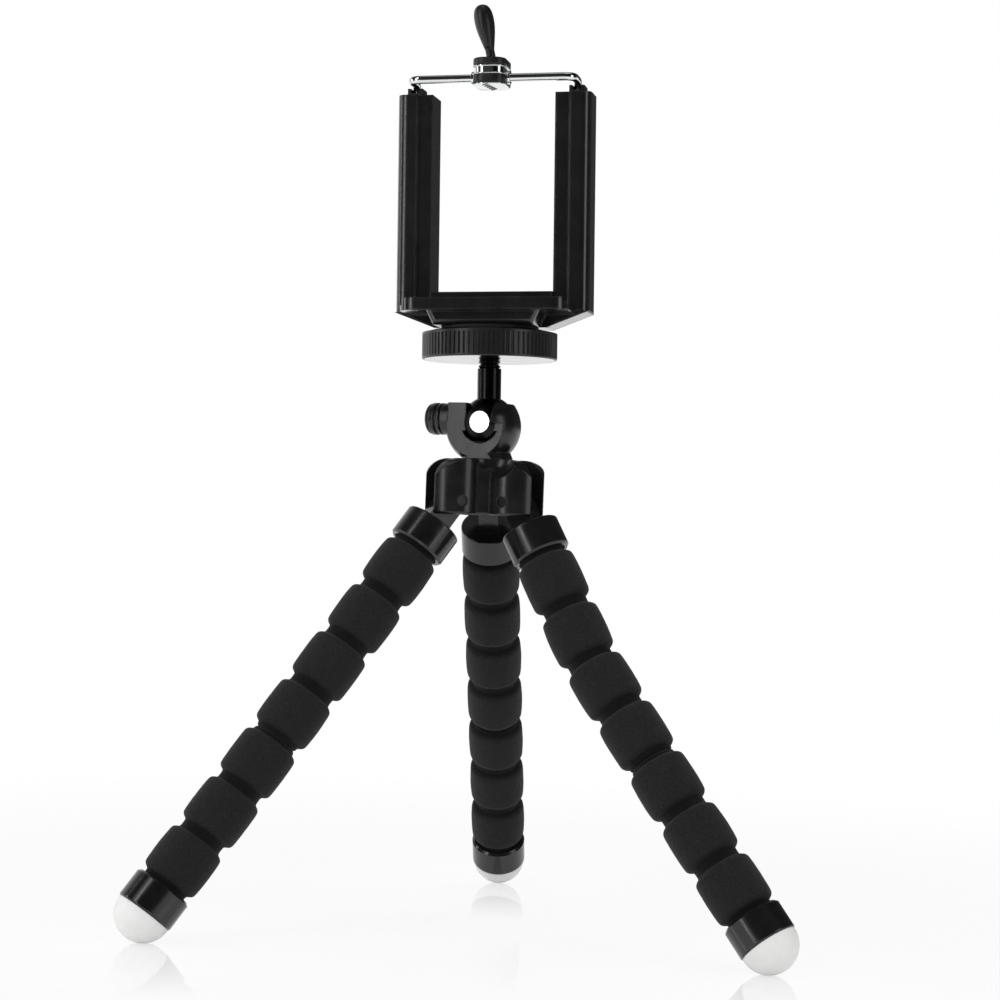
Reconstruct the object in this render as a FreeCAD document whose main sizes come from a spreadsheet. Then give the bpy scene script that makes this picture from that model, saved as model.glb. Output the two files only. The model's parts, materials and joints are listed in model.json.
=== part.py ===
import FreeCAD, Part
import math
import os
import Sketcher
from FreeCAD import Placement, Rotation, Vector

# Small phone tripod: three foam legs that bend, a hub they fold into, a ball head,
# a knurled platform disc and a sprung phone holder. Millimetres, +Z up.
# The origin is on the floor, under the middle of the whole outline.

# Driving sizes, in millimetres and degrees.
SIZES = {
    # Legs and hub
    "hinge_height": 122.6,
    "hinge_radius": 11.0,
    "hub_height": 16.0,
    "pin_above_bottom": 3.9,
    "hub_core_radius": 9.6,
    "lobe_radius": 8.2,
    "lobe_offset": 10.0,
    "hub_top_round": 7.0,
    "hub_edge_round": 0.8,
    "scoop_radius": 7.0,
    "scoop_out": 9.5,
    "scoop_side": 11.2,
    "slot_width": 6.0,
    "slot_start": 6.4,
    "tongue_clearance": 0.15,
    "tongue_round": 3.7,
    "pin_diameter": 3.0,
    "pin_clearance": 0.05,
    "pin_end_gap": 0.4,
    "screw_diameter": 4.0,
    "screw_clearance": 0.1,
    "screw_head_diameter": 7.6,
    "screw_head_height": 2.6,
    "screw_engagement": 1.4,
    "screw_end_gap": 0.2,
    "recess_length": 4.8,
    "recess_width": 0.9,
    "recess_depth": 1.3,
    "foam_diameter": 17.0,
    "groove_depth": 1.5,
    "groove_floor": 1.6,
    "rib_pitch": 16.7,
    "ribs_upper": 2,
    "ribs_middle": 3,
    "ribs_lower": 2,
    "spigot_radius": 6.9,
    "spigot_length": 4.0,
    "socket_clearance": 0.1,
    "knuckle_radius": 6.55,
    "knuckle_clearance": 0.2,
    "knuckle_reach": 4.2,
    "hollow_floor_flat": 0.5,
    "bend_angle": 20.0,
    "bend_margin": 5.0,
    "wire_diameter": 3.0,
    "wire_clearance": 0.15,
    "wire_mouth_angle": 10.0,
    "wire_inset": 1.5,
    "wire_reach": 1.2,
    "cap_diameter": 16.8,
    "cap_start": 8.5,
    "cap_length": 9.0,
    "cap_round": 0.5,
    "cap_chamfer": 0.6,
    "foot_cap_length": 8.8,
    "foot_cap_chamfer": 0.7,
    "foot_radius": 8.1,
    "foot_spigot_length": 2.6,
    "left_upper_bend": 0.0,
    "left_lower_bend": 1.0,
    "right_upper_bend": 8.0,
    "right_lower_bend": 1.0,
    "rear_upper_bend": -1.0,
    "rear_lower_bend": -2.0,
    # Ball head
    "head_lean": -1.4,
    "ball_radius": 7.65,
    "ball_clearance": 0.06,
    "ball_above_hub": 10.6,
    "ball_flat": 6.7,
    "cup_radius": 10.8,
    "cup_drop": 1.2,
    "cup_shift": 1.6,
    "cup_arm": 8.5,
    "cup_rim": 5.4,
    "cup_face": 6.2,
    "cup_turn": -19.5,
    "notch_width": 8.9,
    "notch_drop": 1.7,
    "bulge_side": 3.2,
    "bulge_bottom": -0.3,
    "pedestal_bottom_radius": 7.4,
    "pedestal_top_radius": 5.4,
    "pedestal_height": 5.0,
    "seat_thickness": 0.8,
    "seat_depth": 3.6,
    "seat_swing_depth": 1.0,
    "lock_height": 0.9,
    "lock_boss_radius": 4.6,
    "lock_boss_reach": 13.6,
    "knob_radius": 4.7,
    "knob_length": 5.4,
    "knob_gap": 0.3,
    "knob_round": 1.6,
    "knob_flutes": 14,
    "knob_flute_radius": 0.55,
    "lock_screw_diameter": 3.0,
    "lock_screw_clearance": 0.06,
    "lock_tip_gap": 0.12,
    "lock_tip_chamfer": 0.5,
    "lock_screw_cover": 1.4,
    "nut_flats": 5.5,
    "nut_thickness": 2.4,
    "nut_inset": 1.0,
    "cross_pin_diameter": 6.5,
    "cross_pin_inset": 0.35,
    "cross_pin_chamfer": 0.15,
    "stem_radius": 3.4,
    "stem_length": 8.8,
    "tenon_radius": 2.0,
    "thread_radius": 3.175,
    "thread_depth": 0.6,
    "thread_pitch": 1.27,
    "thread_count": 13,
    "thread_end_gap": 0.4,
    "running_clearance": 0.05,
    # Platform disc
    "disc_radius": 19.4,
    "disc_side": 7.6,
    "disc_top_radius": 14.7,
    "disc_top_rise": 1.1,
    "disc_edge": 0.3,
    "disc_above_stem": 2.5,
    "knurl_count": 84,
    "knurl_depth": 0.35,
    "knurl_margin": 0.7,
    "pad_radius": 14.0,
    "pad_thickness": 0.6,
    "pad_inner_radius": 5.0,
    # Phone holder
    "holder_turn": -6.7,
    "holder_gap": 0.05,
    "holder_half_width": 28.4,
    "rail_width": 10.4,
    "rail_depth": 12.0,
    "rail_top": 67.7,
    "rail_front_round": 3.0,
    "rail_step_width": 4.4,
    "rail_step_depth": 1.2,
    "base_plateau": 16.4,
    "base_slant": 4.6,
    "base_top": 10.4,
    "base_front": 12.0,
    "keel_half_width": 16.7,
    "keel_bottom_half_width": 14.4,
    "keel_round": 1.5,
    "jaw_half_width": 24.4,
    "jaw_reach": 13.4,
    "jaw_bottom": 4.0,
    "jaw_floor": 5.6,
    "jaw_top": 7.6,
    "jaw_lip": 2.0,
    "jaw_corner": 5.0,
    "jaw_pad_thickness": 0.8,
    "jaw_pad_inset": 1.6,
    "insert_flats": 11.1,
    "insert_height": 4.4,
    "insert_start": 0.6,
    "rod_diameter": 2.4,
    "rod_above_rail": 3.7,
    "rod_forward": 2.4,
    "rod_bend_radius": 2.6,
    "wire_back": 6.4,
    "wire_side": 23.8,
    "wire_bottom": 10.0,
    "channel_radius": 2.9,
    "channel_bottom": 8.4,
    "plug_length": 7.0,
    "plug_head_width": 4.4,
    "plug_head_height": 2.3,
    "plug_clearance": 0.06,
    "collar_radius": 2.5,
    "collar_height": 2.0,
    "spring_outer": 2.6,
    "spring_wall": 1.0,
    "spring_end_gap": 0.25,
    "hoop_travel": 28.0,
    # Catch on the rod
    "catch_width": 9.6,
    "catch_depth": 12.0,
    "catch_round": 1.4,
    "barrel_radius": 1.95,
    "plate_bottom": 0.75,
    "plate_top": 2.95,
    "upper_pad_top": 5.1,
    "lower_pad_bottom": 2.5,
    "tread_count": 5,
    "tread_pitch": 1.5,
    "tread_width": 0.7,
    "tread_depth": 0.4,
    "tread_length": 3.6,
    "lever_width": 2.6,
    "lever_thickness": 1.6,
    "lever_top": 19.5,
    "grip_bottom": 8.8,
    "grip_top": 21.4,
    "grip_width": 5.4,
    "grip_depth": 7.6,
    "grip_wall": 0.5,
    "grip_round": 1.2,
    "lever_lean": -7.0,
}

LEGS = 3
RIDGE_START = 0.4
RIDGE_END = 0.55
RIDGE_FOOT = 0.95
SHEET = "Sizes"
doc = FreeCAD.newDocument("phone_tripod")
sheet = doc.addObject("Spreadsheet::Sheet", SHEET)
rows = []
nodes = {}


class Size:
    """A number that keeps the expression giving it from the sheet."""

    def __init__(self, text, value):
        self.text = text
        self.value = float(value)

    def __add__(self, other):
        return join(self, "+", other, lambda a, b: a + b)

    def __radd__(self, other):
        return join(other, "+", self, lambda a, b: a + b)

    def __sub__(self, other):
        return join(self, "-", other, lambda a, b: a - b)

    def __rsub__(self, other):
        return join(other, "-", self, lambda a, b: a - b)

    def __mul__(self, other):
        return join(self, "*", other, lambda a, b: a * b)

    def __rmul__(self, other):
        return join(other, "*", self, lambda a, b: a * b)

    def __truediv__(self, other):
        return join(self, "/", other, lambda a, b: a / b)

    def __neg__(self):
        return join(0, "-", self, lambda a, b: a - b)


def sized(number):
    """The number as a Size, so that plain factors mix with named sizes."""
    if isinstance(number, Size):
        return number
    return Size(repr(number), number)


def join(left, sign, right, work):
    a = sized(left)
    b = sized(right)
    return Size("(" + a.text + " " + sign + " " + b.text + ")", work(a.value, b.value))


def root(number):
    return Size("sqrt(" + number.text + ")", math.sqrt(number.value))


def tangent(angle):
    return Size("tan(" + angle.text + ")", math.tan(math.radians(angle.value)))


def named(alias, value):
    """A driving dimension: one row of the sheet, and the Size that refers to it."""
    rows.append((alias, value))
    line = len(rows)
    sheet.set("A" + str(line), alias)
    sheet.set("B" + str(line), str(value))
    sheet.setAlias("B" + str(line), alias)
    return Size(SHEET + "." + alias, value)


class NamedSizes:
    """Each driving size under its own name, tied to its row of the sheet."""


size = NamedSizes()
for alias, number in SIZES.items():
    setattr(size, alias, named(alias, number))


def bind(thing, prop, size):
    """Ties a property to its size in the sheet."""
    thing.setExpression(prop, sized(size).text)


def plane_of(body, role):
    return [p for p in body.Origin.OriginFeatures if p.Role == role][0]


def body_named(name):
    return doc.addObject("PartDesign::Body", name)


def new_sketch(body, name, role, offset=None):
    drawing = body.newObject("Sketcher::SketchObject", name)
    drawing.AttachmentSupport = [(plane_of(body, role), "")]
    drawing.MapMode = "FlatFace"
    if offset is not None:
        drawing.AttachmentOffset = Placement(Vector(0, 0, offset.value), Rotation())
        bind(drawing, "AttachmentOffset.Base.z", offset)
    return drawing


def hold_point(drawing, item, end, x, y):
    """Holds one point of the drawing at x, y from its origin."""
    for kind, size, axis in (("DistanceX", sized(x), -2), ("DistanceY", sized(y), -1)):
        if abs(size.value) < 1e-9:
            drawing.addConstraint(Sketcher.Constraint("PointOnObject", item, end, axis))
            continue
        if size.value > 0:
            rule = Sketcher.Constraint(kind, -1, 1, item, end, size.value)
            text = size.text
        else:
            rule = Sketcher.Constraint(kind, item, end, -1, 1, -size.value)
            text = (-size).text
        index = drawing.addConstraint(rule)
        drawing.setExpression("Constraints[" + str(index) + "]", text)


def outline(drawing, corners):
    """A closed outline. Each corner is x, y, and may add the radius of the arc that
    leads on to the next corner: positive bulges to the right of the way there."""
    count = len(corners)
    ends = []
    for i, corner in enumerate(corners):
        after = corners[(i + 1) % count]
        a = Vector(sized(corner[0]).value, sized(corner[1]).value, 0)
        b = Vector(sized(after[0]).value, sized(after[1]).value, 0)
        if len(corner) == 2:
            item = drawing.addGeometry(Part.LineSegment(a, b), False)
            ends.append((item, 1, 2))
            continue
        radius = sized(corner[2])
        reach = abs(radius.value)
        chord = b - a
        middle = (a + b) * 0.5
        away = math.sqrt(max(reach * reach - chord.Length * chord.Length / 4.0, 0.0))
        left = Vector(-chord.y, chord.x, 0).normalize()
        side = 1.0 if radius.value > 0 else -1.0
        centre = middle + left * (side * away)
        start = math.atan2(a.y - centre.y, a.x - centre.x)
        finish = math.atan2(b.y - centre.y, b.x - centre.x)
        circle = Part.Circle(centre, Vector(0, 0, 1), reach)
        if radius.value > 0:
            if finish <= start:
                finish += 2 * math.pi
            item = drawing.addGeometry(Part.ArcOfCircle(circle, start, finish), False)
            ends.append((item, 1, 2))
        else:
            if start <= finish:
                start += 2 * math.pi
            item = drawing.addGeometry(Part.ArcOfCircle(circle, finish, start), False)
            ends.append((item, 2, 1))
        text = radius.text if radius.value > 0 else (-radius).text
        index = drawing.addConstraint(Sketcher.Constraint("Radius", item, reach))
        drawing.setExpression("Constraints[" + str(index) + "]", text)
    for i in range(count):
        item, first, last = ends[i]
        following = ends[(i + 1) % count]
        drawing.addConstraint(
            Sketcher.Constraint("Coincident", item, last, following[0], following[1])
        )
    for i, corner in enumerate(corners):
        item, first, last = ends[i]
        hold_point(drawing, item, first, corner[0], corner[1])
    return drawing


def ring(drawing, radius, x=0, y=0):
    """A circle of that radius about x, y."""
    radius = sized(radius)
    centre = Vector(sized(x).value, sized(y).value, 0)
    item = drawing.addGeometry(Part.Circle(centre, Vector(0, 0, 1), radius.value), False)
    index = drawing.addConstraint(Sketcher.Constraint("Radius", item, radius.value))
    drawing.setExpression("Constraints[" + str(index) + "]", radius.text)
    hold_point(drawing, item, 3, x, y)
    return drawing


def volume_of(body):
    doc.recompute()
    return body.Shape.Volume if body.Tip is not None else 0.0


def changed(body, before, more, name):
    """Stops if a feature that should add or take away material did nothing."""
    after = volume_of(body)
    if more and not after > before + 1e-6:
        raise RuntimeError(name + " added nothing")
    if not more and not after < before - 1e-6:
        raise RuntimeError(name + " cut nothing")


def pad(body, drawing, length, name, symmetric=False, backward=False):
    before = volume_of(body) if body.Tip is not None and body.Tip != drawing else 0.0
    feature = body.newObject("PartDesign::Pad", name)
    feature.Profile = drawing
    bind(feature, "Length", length)
    feature.Length = sized(length).value
    if symmetric:
        feature.SideType = "Symmetric"
    feature.Reversed = backward
    body.Tip = feature
    changed(body, before, True, name)
    return feature


def pocket(body, drawing, length, name, symmetric=False, backward=False):
    before = volume_of(body)
    feature = body.newObject("PartDesign::Pocket", name)
    feature.Profile = drawing
    bind(feature, "Length", length)
    feature.Length = sized(length).value
    if symmetric:
        feature.SideType = "Symmetric"
    feature.Reversed = backward
    body.Tip = feature
    changed(body, before, False, name)
    return feature


def turn(body, name, corners, cut=False, role="XZ_Plane"):
    """Revolves an outline of radius, height about the body's Z axis."""
    before = volume_of(body) if body.Tip is not None else 0.0
    drawing = new_sketch(body, name + "_outline", role)
    outline(drawing, corners)
    kind = "PartDesign::Groove" if cut else "PartDesign::Revolution"
    feature = body.newObject(kind, name)
    feature.Profile = drawing
    feature.ReferenceAxis = (drawing, ["V_Axis"])
    feature.Angle = 360
    body.Tip = feature
    changed(body, before, not cut, name)
    return feature


def around(body, feature, drawing, count, name):
    """Repeats a feature about the body's Z axis."""
    before = volume_of(body)
    pattern = body.newObject("PartDesign::PolarPattern", name)
    pattern.Originals = [feature]
    pattern.Axis = (drawing, ["N_Axis"])
    pattern.Angle = 360
    pattern.Occurrences = int(sized(count).value)
    if isinstance(count, Size):
        bind(pattern, "Occurrences", count)
    body.Tip = pattern
    if abs(volume_of(body) - before) < 1e-6:
        raise RuntimeError(name + " repeated nothing")
    return pattern


def along(body, feature, axis, count, length, name, backward=False):
    """Repeats a feature in line."""
    before = volume_of(body)
    pattern = body.newObject("PartDesign::LinearPattern", name)
    pattern.Originals = [feature]
    pattern.Direction = axis
    pattern.Reversed = backward
    bind(pattern, "Length", length)
    pattern.Length = sized(length).value
    pattern.Occurrences = int(sized(count).value)
    bind(pattern, "Occurrences", count)
    body.Tip = pattern
    if abs(volume_of(body) - before) < 1e-6:
        raise RuntimeError(name + " repeated nothing")
    return pattern


def edges_where(shape, test):
    return ["Edge" + str(i + 1) for i, e in enumerate(shape.Edges) if test(e)]


def soften(body, name, radius, test, kind="PartDesign::Fillet"):
    """Rounds or chamfers the edges that pass the test."""
    doc.recompute()
    base = body.Tip
    found = edges_where(base.Shape, test)
    if not found:
        raise RuntimeError(name + " found no edge")
    feature = body.newObject(kind, name)
    feature.Base = (base, found)
    prop = "Radius" if kind.endswith("Fillet") else "Size"
    bind(feature, prop, radius)
    setattr(feature, prop, sized(radius).value)
    body.Tip = feature
    doc.recompute()
    return feature


def solid(kind, name, base=None, turned=None, **sizes):
    """A Part primitive whose sizes, and the place of its base, come from the sheet."""
    thing = doc.addObject("Part::" + kind, name)
    place = base or (0, 0, 0)
    thing.Placement = Placement(
        Vector(*[sized(v).value for v in place]), turned or Rotation()
    )
    for prop, size in sizes.items():
        setattr(thing, prop, sized(size).value)
        bind(thing, prop, size)
    for axis, size in zip("xyz", place):
        if isinstance(size, Size):
            bind(thing, "Placement.Base." + axis, size)
    return thing


def minus(name, base, *tools):
    thing = doc.addObject("Part::Cut", name)
    thing.Base = base
    if len(tools) == 1:
        thing.Tool = tools[0]
    else:
        gathered = doc.addObject("Part::MultiFuse", name + "_tools")
        gathered.Shapes = list(tools)
        thing.Tool = gathered
    return thing


def plus(name, *pieces):
    thing = doc.addObject("Part::MultiFuse", name)
    thing.Shapes = list(pieces)
    thing.Refine = True
    return thing


def group(name, *pieces):
    thing = doc.addObject("Part::Compound", name)
    thing.Links = list(pieces)
    return thing


def node(name, thing, place):
    """Names a sub-part and puts it in its place."""
    thing.Label = name
    thing.Placement = place
    nodes[name] = thing
    return thing


ALONG_X = Rotation(Vector(0, 1, 0), 90)
ALONG_Y = Rotation(Vector(1, 0, 0), -90)
HALF = 0.5


# Leg pieces. Each is drawn about its own Z axis, which runs down the leg.
foam_radius = size.foam_diameter / 2
groove_radius = foam_radius - size.groove_depth
wire_radius = size.wire_diameter / 2
wire_hole = wire_radius + size.wire_clearance
wire_mouth = size.knuckle_reach * 2 * tangent(size.wire_mouth_angle)
cap_radius = size.cap_diameter / 2
cap_end = size.cap_start + size.cap_length
socket_radius = size.spigot_radius + size.socket_clearance
tongue_width = size.slot_width - size.tongue_clearance * 2
pin_hole = size.pin_diameter / 2 + size.pin_clearance
bend_face = tangent(size.bend_angle / 2 + size.bend_margin / 2)
far_out = foam_radius + 1
knuckle_half_chord = root(size.knuckle_radius * size.knuckle_radius - size.knuckle_reach * size.knuckle_reach)
knuckle_hole = size.knuckle_radius + size.knuckle_clearance
hollow_mouth = knuckle_hole / 6
hollow_mouth_radius = root(knuckle_hole * knuckle_hole - hollow_mouth * hollow_mouth)
hollow_floor = knuckle_hole - size.hollow_floor_flat
hollow_floor_radius = root(knuckle_hole * knuckle_hole - hollow_floor * hollow_floor)


def foam_piece(name, ribs, spigot_at_start, spigot_at_end):
    """A run of foam ribs. An end without a spigot is a bending groove: the ball of the
    piece above sits in the hollow of the piece below."""
    body = body_named(name + "_body")
    length = ribs * size.rib_pitch
    half_floor = size.groove_floor / 2
    shoulder = half_floor + size.groove_depth
    rib = turn(
        body,
        name + "_rib",
        [
            (0, 0),
            (groove_radius, 0),
            (groove_radius, half_floor, size.groove_depth),
            (foam_radius, shoulder),
            (foam_radius, size.rib_pitch - shoulder, size.groove_depth),
            (groove_radius, size.rib_pitch - half_floor),
            (groove_radius, size.rib_pitch),
            (0, size.rib_pitch),
        ],
    )
    along(body, rib, (rib.Profile[0], ["V_Axis"]), ribs, (ribs - 1) * size.rib_pitch, name + "_ribs")
    if spigot_at_start:
        turn(
            body,
            name + "_top_spigot",
            [(0, -size.spigot_length), (size.spigot_radius, -size.spigot_length), (size.spigot_radius, 0.5), (0, 0.5)],
        )
    else:
        turn(
            body,
            name + "_top_face",
            [(0, 0), (far_out, far_out * bend_face), (far_out, -1), (0, -1)],
            cut=True,
        )
        turn(
            body,
            name + "_hollow",
            [
                (0, -hollow_mouth),
                (hollow_mouth_radius, -hollow_mouth, knuckle_hole),
                (hollow_floor_radius, hollow_floor),
                (0, hollow_floor),
            ],
            cut=True,
        )
    if spigot_at_end:
        low = length + size.spigot_length
        turn(
            body,
            name + "_low_spigot",
            [(0, length - 0.5), (size.spigot_radius, length - 0.5), (size.spigot_radius, low), (0, low)],
        )
    else:
        turn(
            body,
            name + "_low_face",
            [(0, length), (far_out, length - far_out * bend_face), (far_out, length + 1), (0, length + 1)],
            cut=True,
        )
        turn(
            body,
            name + "_knuckle",
            [
                (0, length - size.knuckle_reach),
                (knuckle_half_chord, length - size.knuckle_reach, size.knuckle_radius),
                (knuckle_half_chord, length + size.knuckle_reach),
                (0, length + size.knuckle_reach),
            ],
        )
        turn(
            body,
            name + "_wire_mouth",
            [
                (0, length),
                (wire_hole, length),
                (wire_hole + wire_mouth, length + size.knuckle_reach * 2),
                (0, length + size.knuckle_reach * 2),
            ],
            cut=True,
        )
    turn(
        body,
        name + "_bore",
        [(0, -far_out), (wire_hole, -far_out), (wire_hole, length + far_out), (0, length + far_out)],
        cut=True,
    )
    return body


def leg_cap(name):
    """The glossy sleeve at the top of a leg with the tongue that turns in the hub."""
    body = body_named(name + "_body")
    socket_floor = cap_end - size.spigot_length - size.socket_clearance
    turn(
        body,
        name + "_sleeve",
        [
            (0, size.cap_start),
            (cap_radius - size.cap_round, size.cap_start, size.cap_round),
            (cap_radius, size.cap_start + size.cap_round),
            (cap_radius, cap_end - size.cap_chamfer),
            (cap_radius - size.cap_chamfer, cap_end),
            (0, cap_end),
        ],
    )
    shape = new_sketch(body, name + "_tongue_outline", "YZ_Plane")
    outline(
        shape,
        [
            (-size.tongue_round, 0, size.tongue_round),
            (0, -size.tongue_round, size.tongue_round),
            (size.tongue_round, 0),
            (size.tongue_round, size.cap_start + size.cap_round),
            (-size.tongue_round, size.cap_start + size.cap_round),
        ],
    )
    pad(body, shape, tongue_width, name + "_tongue", symmetric=True)
    hole = new_sketch(body, name + "_pin_outline", "YZ_Plane")
    ring(hole, pin_hole)
    pocket(body, hole, size.slot_width * 2, name + "_pin_hole", symmetric=True)
    turn(
        body,
        name + "_socket",
        [(0, socket_floor), (socket_radius, socket_floor), (socket_radius, cap_end), (0, cap_end)],
        cut=True,
    )
    turn(
        body,
        name + "_wire_hole",
        [(0, size.cap_start + size.wire_inset), (wire_radius, size.cap_start + size.wire_inset), (wire_radius, cap_end), (0, cap_end)],
        cut=True,
    )
    return body


def leg_wire(name, upper_bend, lower_bend):
    """The bendable wire in the middle of a leg: three straight runs and two rounded bends."""
    top = size.cap_start + size.wire_inset
    first = cap_end + size.ribs_upper * size.rib_pitch
    middle = size.ribs_middle * size.rib_pitch
    last = size.ribs_lower * size.rib_pitch + size.spigot_length + size.wire_reach
    pieces = []
    point = Vector(0, 0, first.value)
    run = solid("Cylinder", name + "_run_1", (0, 0, top), Radius=wire_radius, Height=first - top)
    pieces.append(run)
    angle = 0.0
    for part, (bend, length) in enumerate(((upper_bend, middle), (lower_bend, last))):
        knee = solid("Sphere", name + "_knee_" + str(part + 1), Radius=wire_radius)
        knee.Placement = Placement(point, Rotation())
        angle += bend.value
        facing = Rotation(Vector(1, 0, 0), angle)
        run = solid(
            "Cylinder", name + "_run_" + str(part + 2), Radius=wire_radius, Height=length
        )
        run.Placement = Placement(point, facing)
        pieces.extend((knee, run))
        point = point + facing.multVec(Vector(0, 0, length.value))
    return plus(name + "_joined", *pieces)


def foot_sleeve(name):
    """The glossy sleeve between the foam and the foot."""
    body = body_named(name + "_body")
    top_floor = size.spigot_length + size.socket_clearance
    low_floor = size.foot_cap_length - size.foot_spigot_length - size.socket_clearance
    turn(
        body,
        name + "_sleeve",
        [
            (0, 0),
            (cap_radius - size.foot_cap_chamfer, 0),
            (cap_radius, size.foot_cap_chamfer),
            (cap_radius, size.foot_cap_length - size.foot_cap_chamfer, size.foot_cap_chamfer),
            (cap_radius - size.foot_cap_chamfer, size.foot_cap_length),
            (0, size.foot_cap_length),
        ],
    )
    turn(
        body,
        name + "_top_socket",
        [(0, 0), (socket_radius, 0), (socket_radius, top_floor), (0, top_floor)],
        cut=True,
    )
    turn(
        body,
        name + "_low_socket",
        [
            (0, low_floor),
            (socket_radius, low_floor),
            (socket_radius, size.foot_cap_length),
            (0, size.foot_cap_length),
        ],
        cut=True,
    )
    turn(
        body,
        name + "_wire_hole",
        [(0, 0), (wire_hole, 0), (wire_hole, size.foot_cap_length), (0, size.foot_cap_length)],
        cut=True,
    )
    return body


def foot_dome(name):
    """The rubber foot: half a ball with a spigot that plugs into its sleeve."""
    body = body_named(name + "_body")
    seat = size.foot_cap_length
    top = seat - size.foot_spigot_length
    turn(
        body,
        name + "_dome",
        [
            (0, top),
            (size.spigot_radius, top),
            (size.spigot_radius, seat),
            (size.foot_radius, seat, size.foot_radius),
            (0, seat + size.foot_radius),
        ],
    )
    return body


def leg_direction(azimuth, splay):
    """Turns local Z down the leg, with local X along the hinge pin."""
    return Rotation(Vector(0, 0, 1), azimuth + 90) * Rotation(Vector(1, 0, 0), 180 - splay)


def splay_for(upper_bend, lower_bend):
    """The angle from vertical at which a leg with these bends puts its foot on the floor."""
    first = (cap_end + size.ribs_upper * size.rib_pitch).value
    second = (size.ribs_middle * size.rib_pitch).value
    third = (size.ribs_lower * size.rib_pitch + size.foot_cap_length).value
    bend = math.radians(upper_bend.value)
    both = math.radians(upper_bend.value + lower_bend.value)
    down = first + second * math.cos(bend) + third * math.cos(both)
    out = second * math.sin(bend) + third * math.sin(both)
    drop = (size.hinge_height - size.foot_radius).value
    return math.degrees(math.acos(drop / math.hypot(down, out)) - math.atan2(out, down))


legs = (
    ("left", 210.0, size.left_upper_bend, size.left_lower_bend),
    ("right", 330.0, size.right_upper_bend, size.right_lower_bend),
    ("rear", 90.0, size.rear_upper_bend, size.rear_lower_bend),
)
hinge_points = {}
for side, azimuth, upper_bend, lower_bend in legs:
    splay = splay_for(upper_bend, lower_bend)
    outward = Rotation(Vector(0, 0, 1), azimuth).multVec(Vector(1, 0, 0))
    hinge = outward * size.hinge_radius.value + Vector(0, 0, size.hinge_height.value)
    upper = leg_direction(azimuth, splay)
    middle = leg_direction(azimuth, splay + upper_bend.value)
    lower = leg_direction(azimuth, splay + upper_bend.value + lower_bend.value)
    foam_top = hinge + upper.multVec(Vector(0, 0, cap_end.value))
    knee = foam_top + upper.multVec(Vector(0, 0, (size.ribs_upper * size.rib_pitch).value))
    ankle = knee + middle.multVec(Vector(0, 0, (size.ribs_middle * size.rib_pitch).value))
    foot = ankle + lower.multVec(Vector(0, 0, (size.ribs_lower * size.rib_pitch).value))
    word = "leg_" + side
    node(word + "_cap", leg_cap(word + "_cap"), Placement(hinge, upper))
    node(
        word + "_foam_upper",
        foam_piece(word + "_foam_upper", size.ribs_upper, True, False),
        Placement(foam_top, upper),
    )
    node(
        word + "_foam_middle",
        foam_piece(word + "_foam_middle", size.ribs_middle, False, False),
        Placement(knee, middle),
    )
    node(
        word + "_foam_lower",
        foam_piece(word + "_foam_lower", size.ribs_lower, False, True),
        Placement(ankle, lower),
    )
    node(word + "_wire", leg_wire(word + "_wire", -upper_bend, -lower_bend), Placement(hinge, upper))
    node(word + "_foot_cap", foot_sleeve(word + "_foot_cap"), Placement(foot, lower))
    node(word + "_foot", foot_dome(word + "_foot"), Placement(foot, lower))
    hinge_points[word + "_hinge"] = (hinge, upper.multVec(Vector(-1, 0, 0)))
    hinge_points[word + "_knee"] = (knee, upper.multVec(Vector(-1, 0, 0)))
    hinge_points[word + "_ankle"] = (ankle, upper.multVec(Vector(-1, 0, 0)))
    hinge_points[word + "_foot_end"] = (foot, lower.multVec(Vector(0, 0, 1)))


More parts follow.
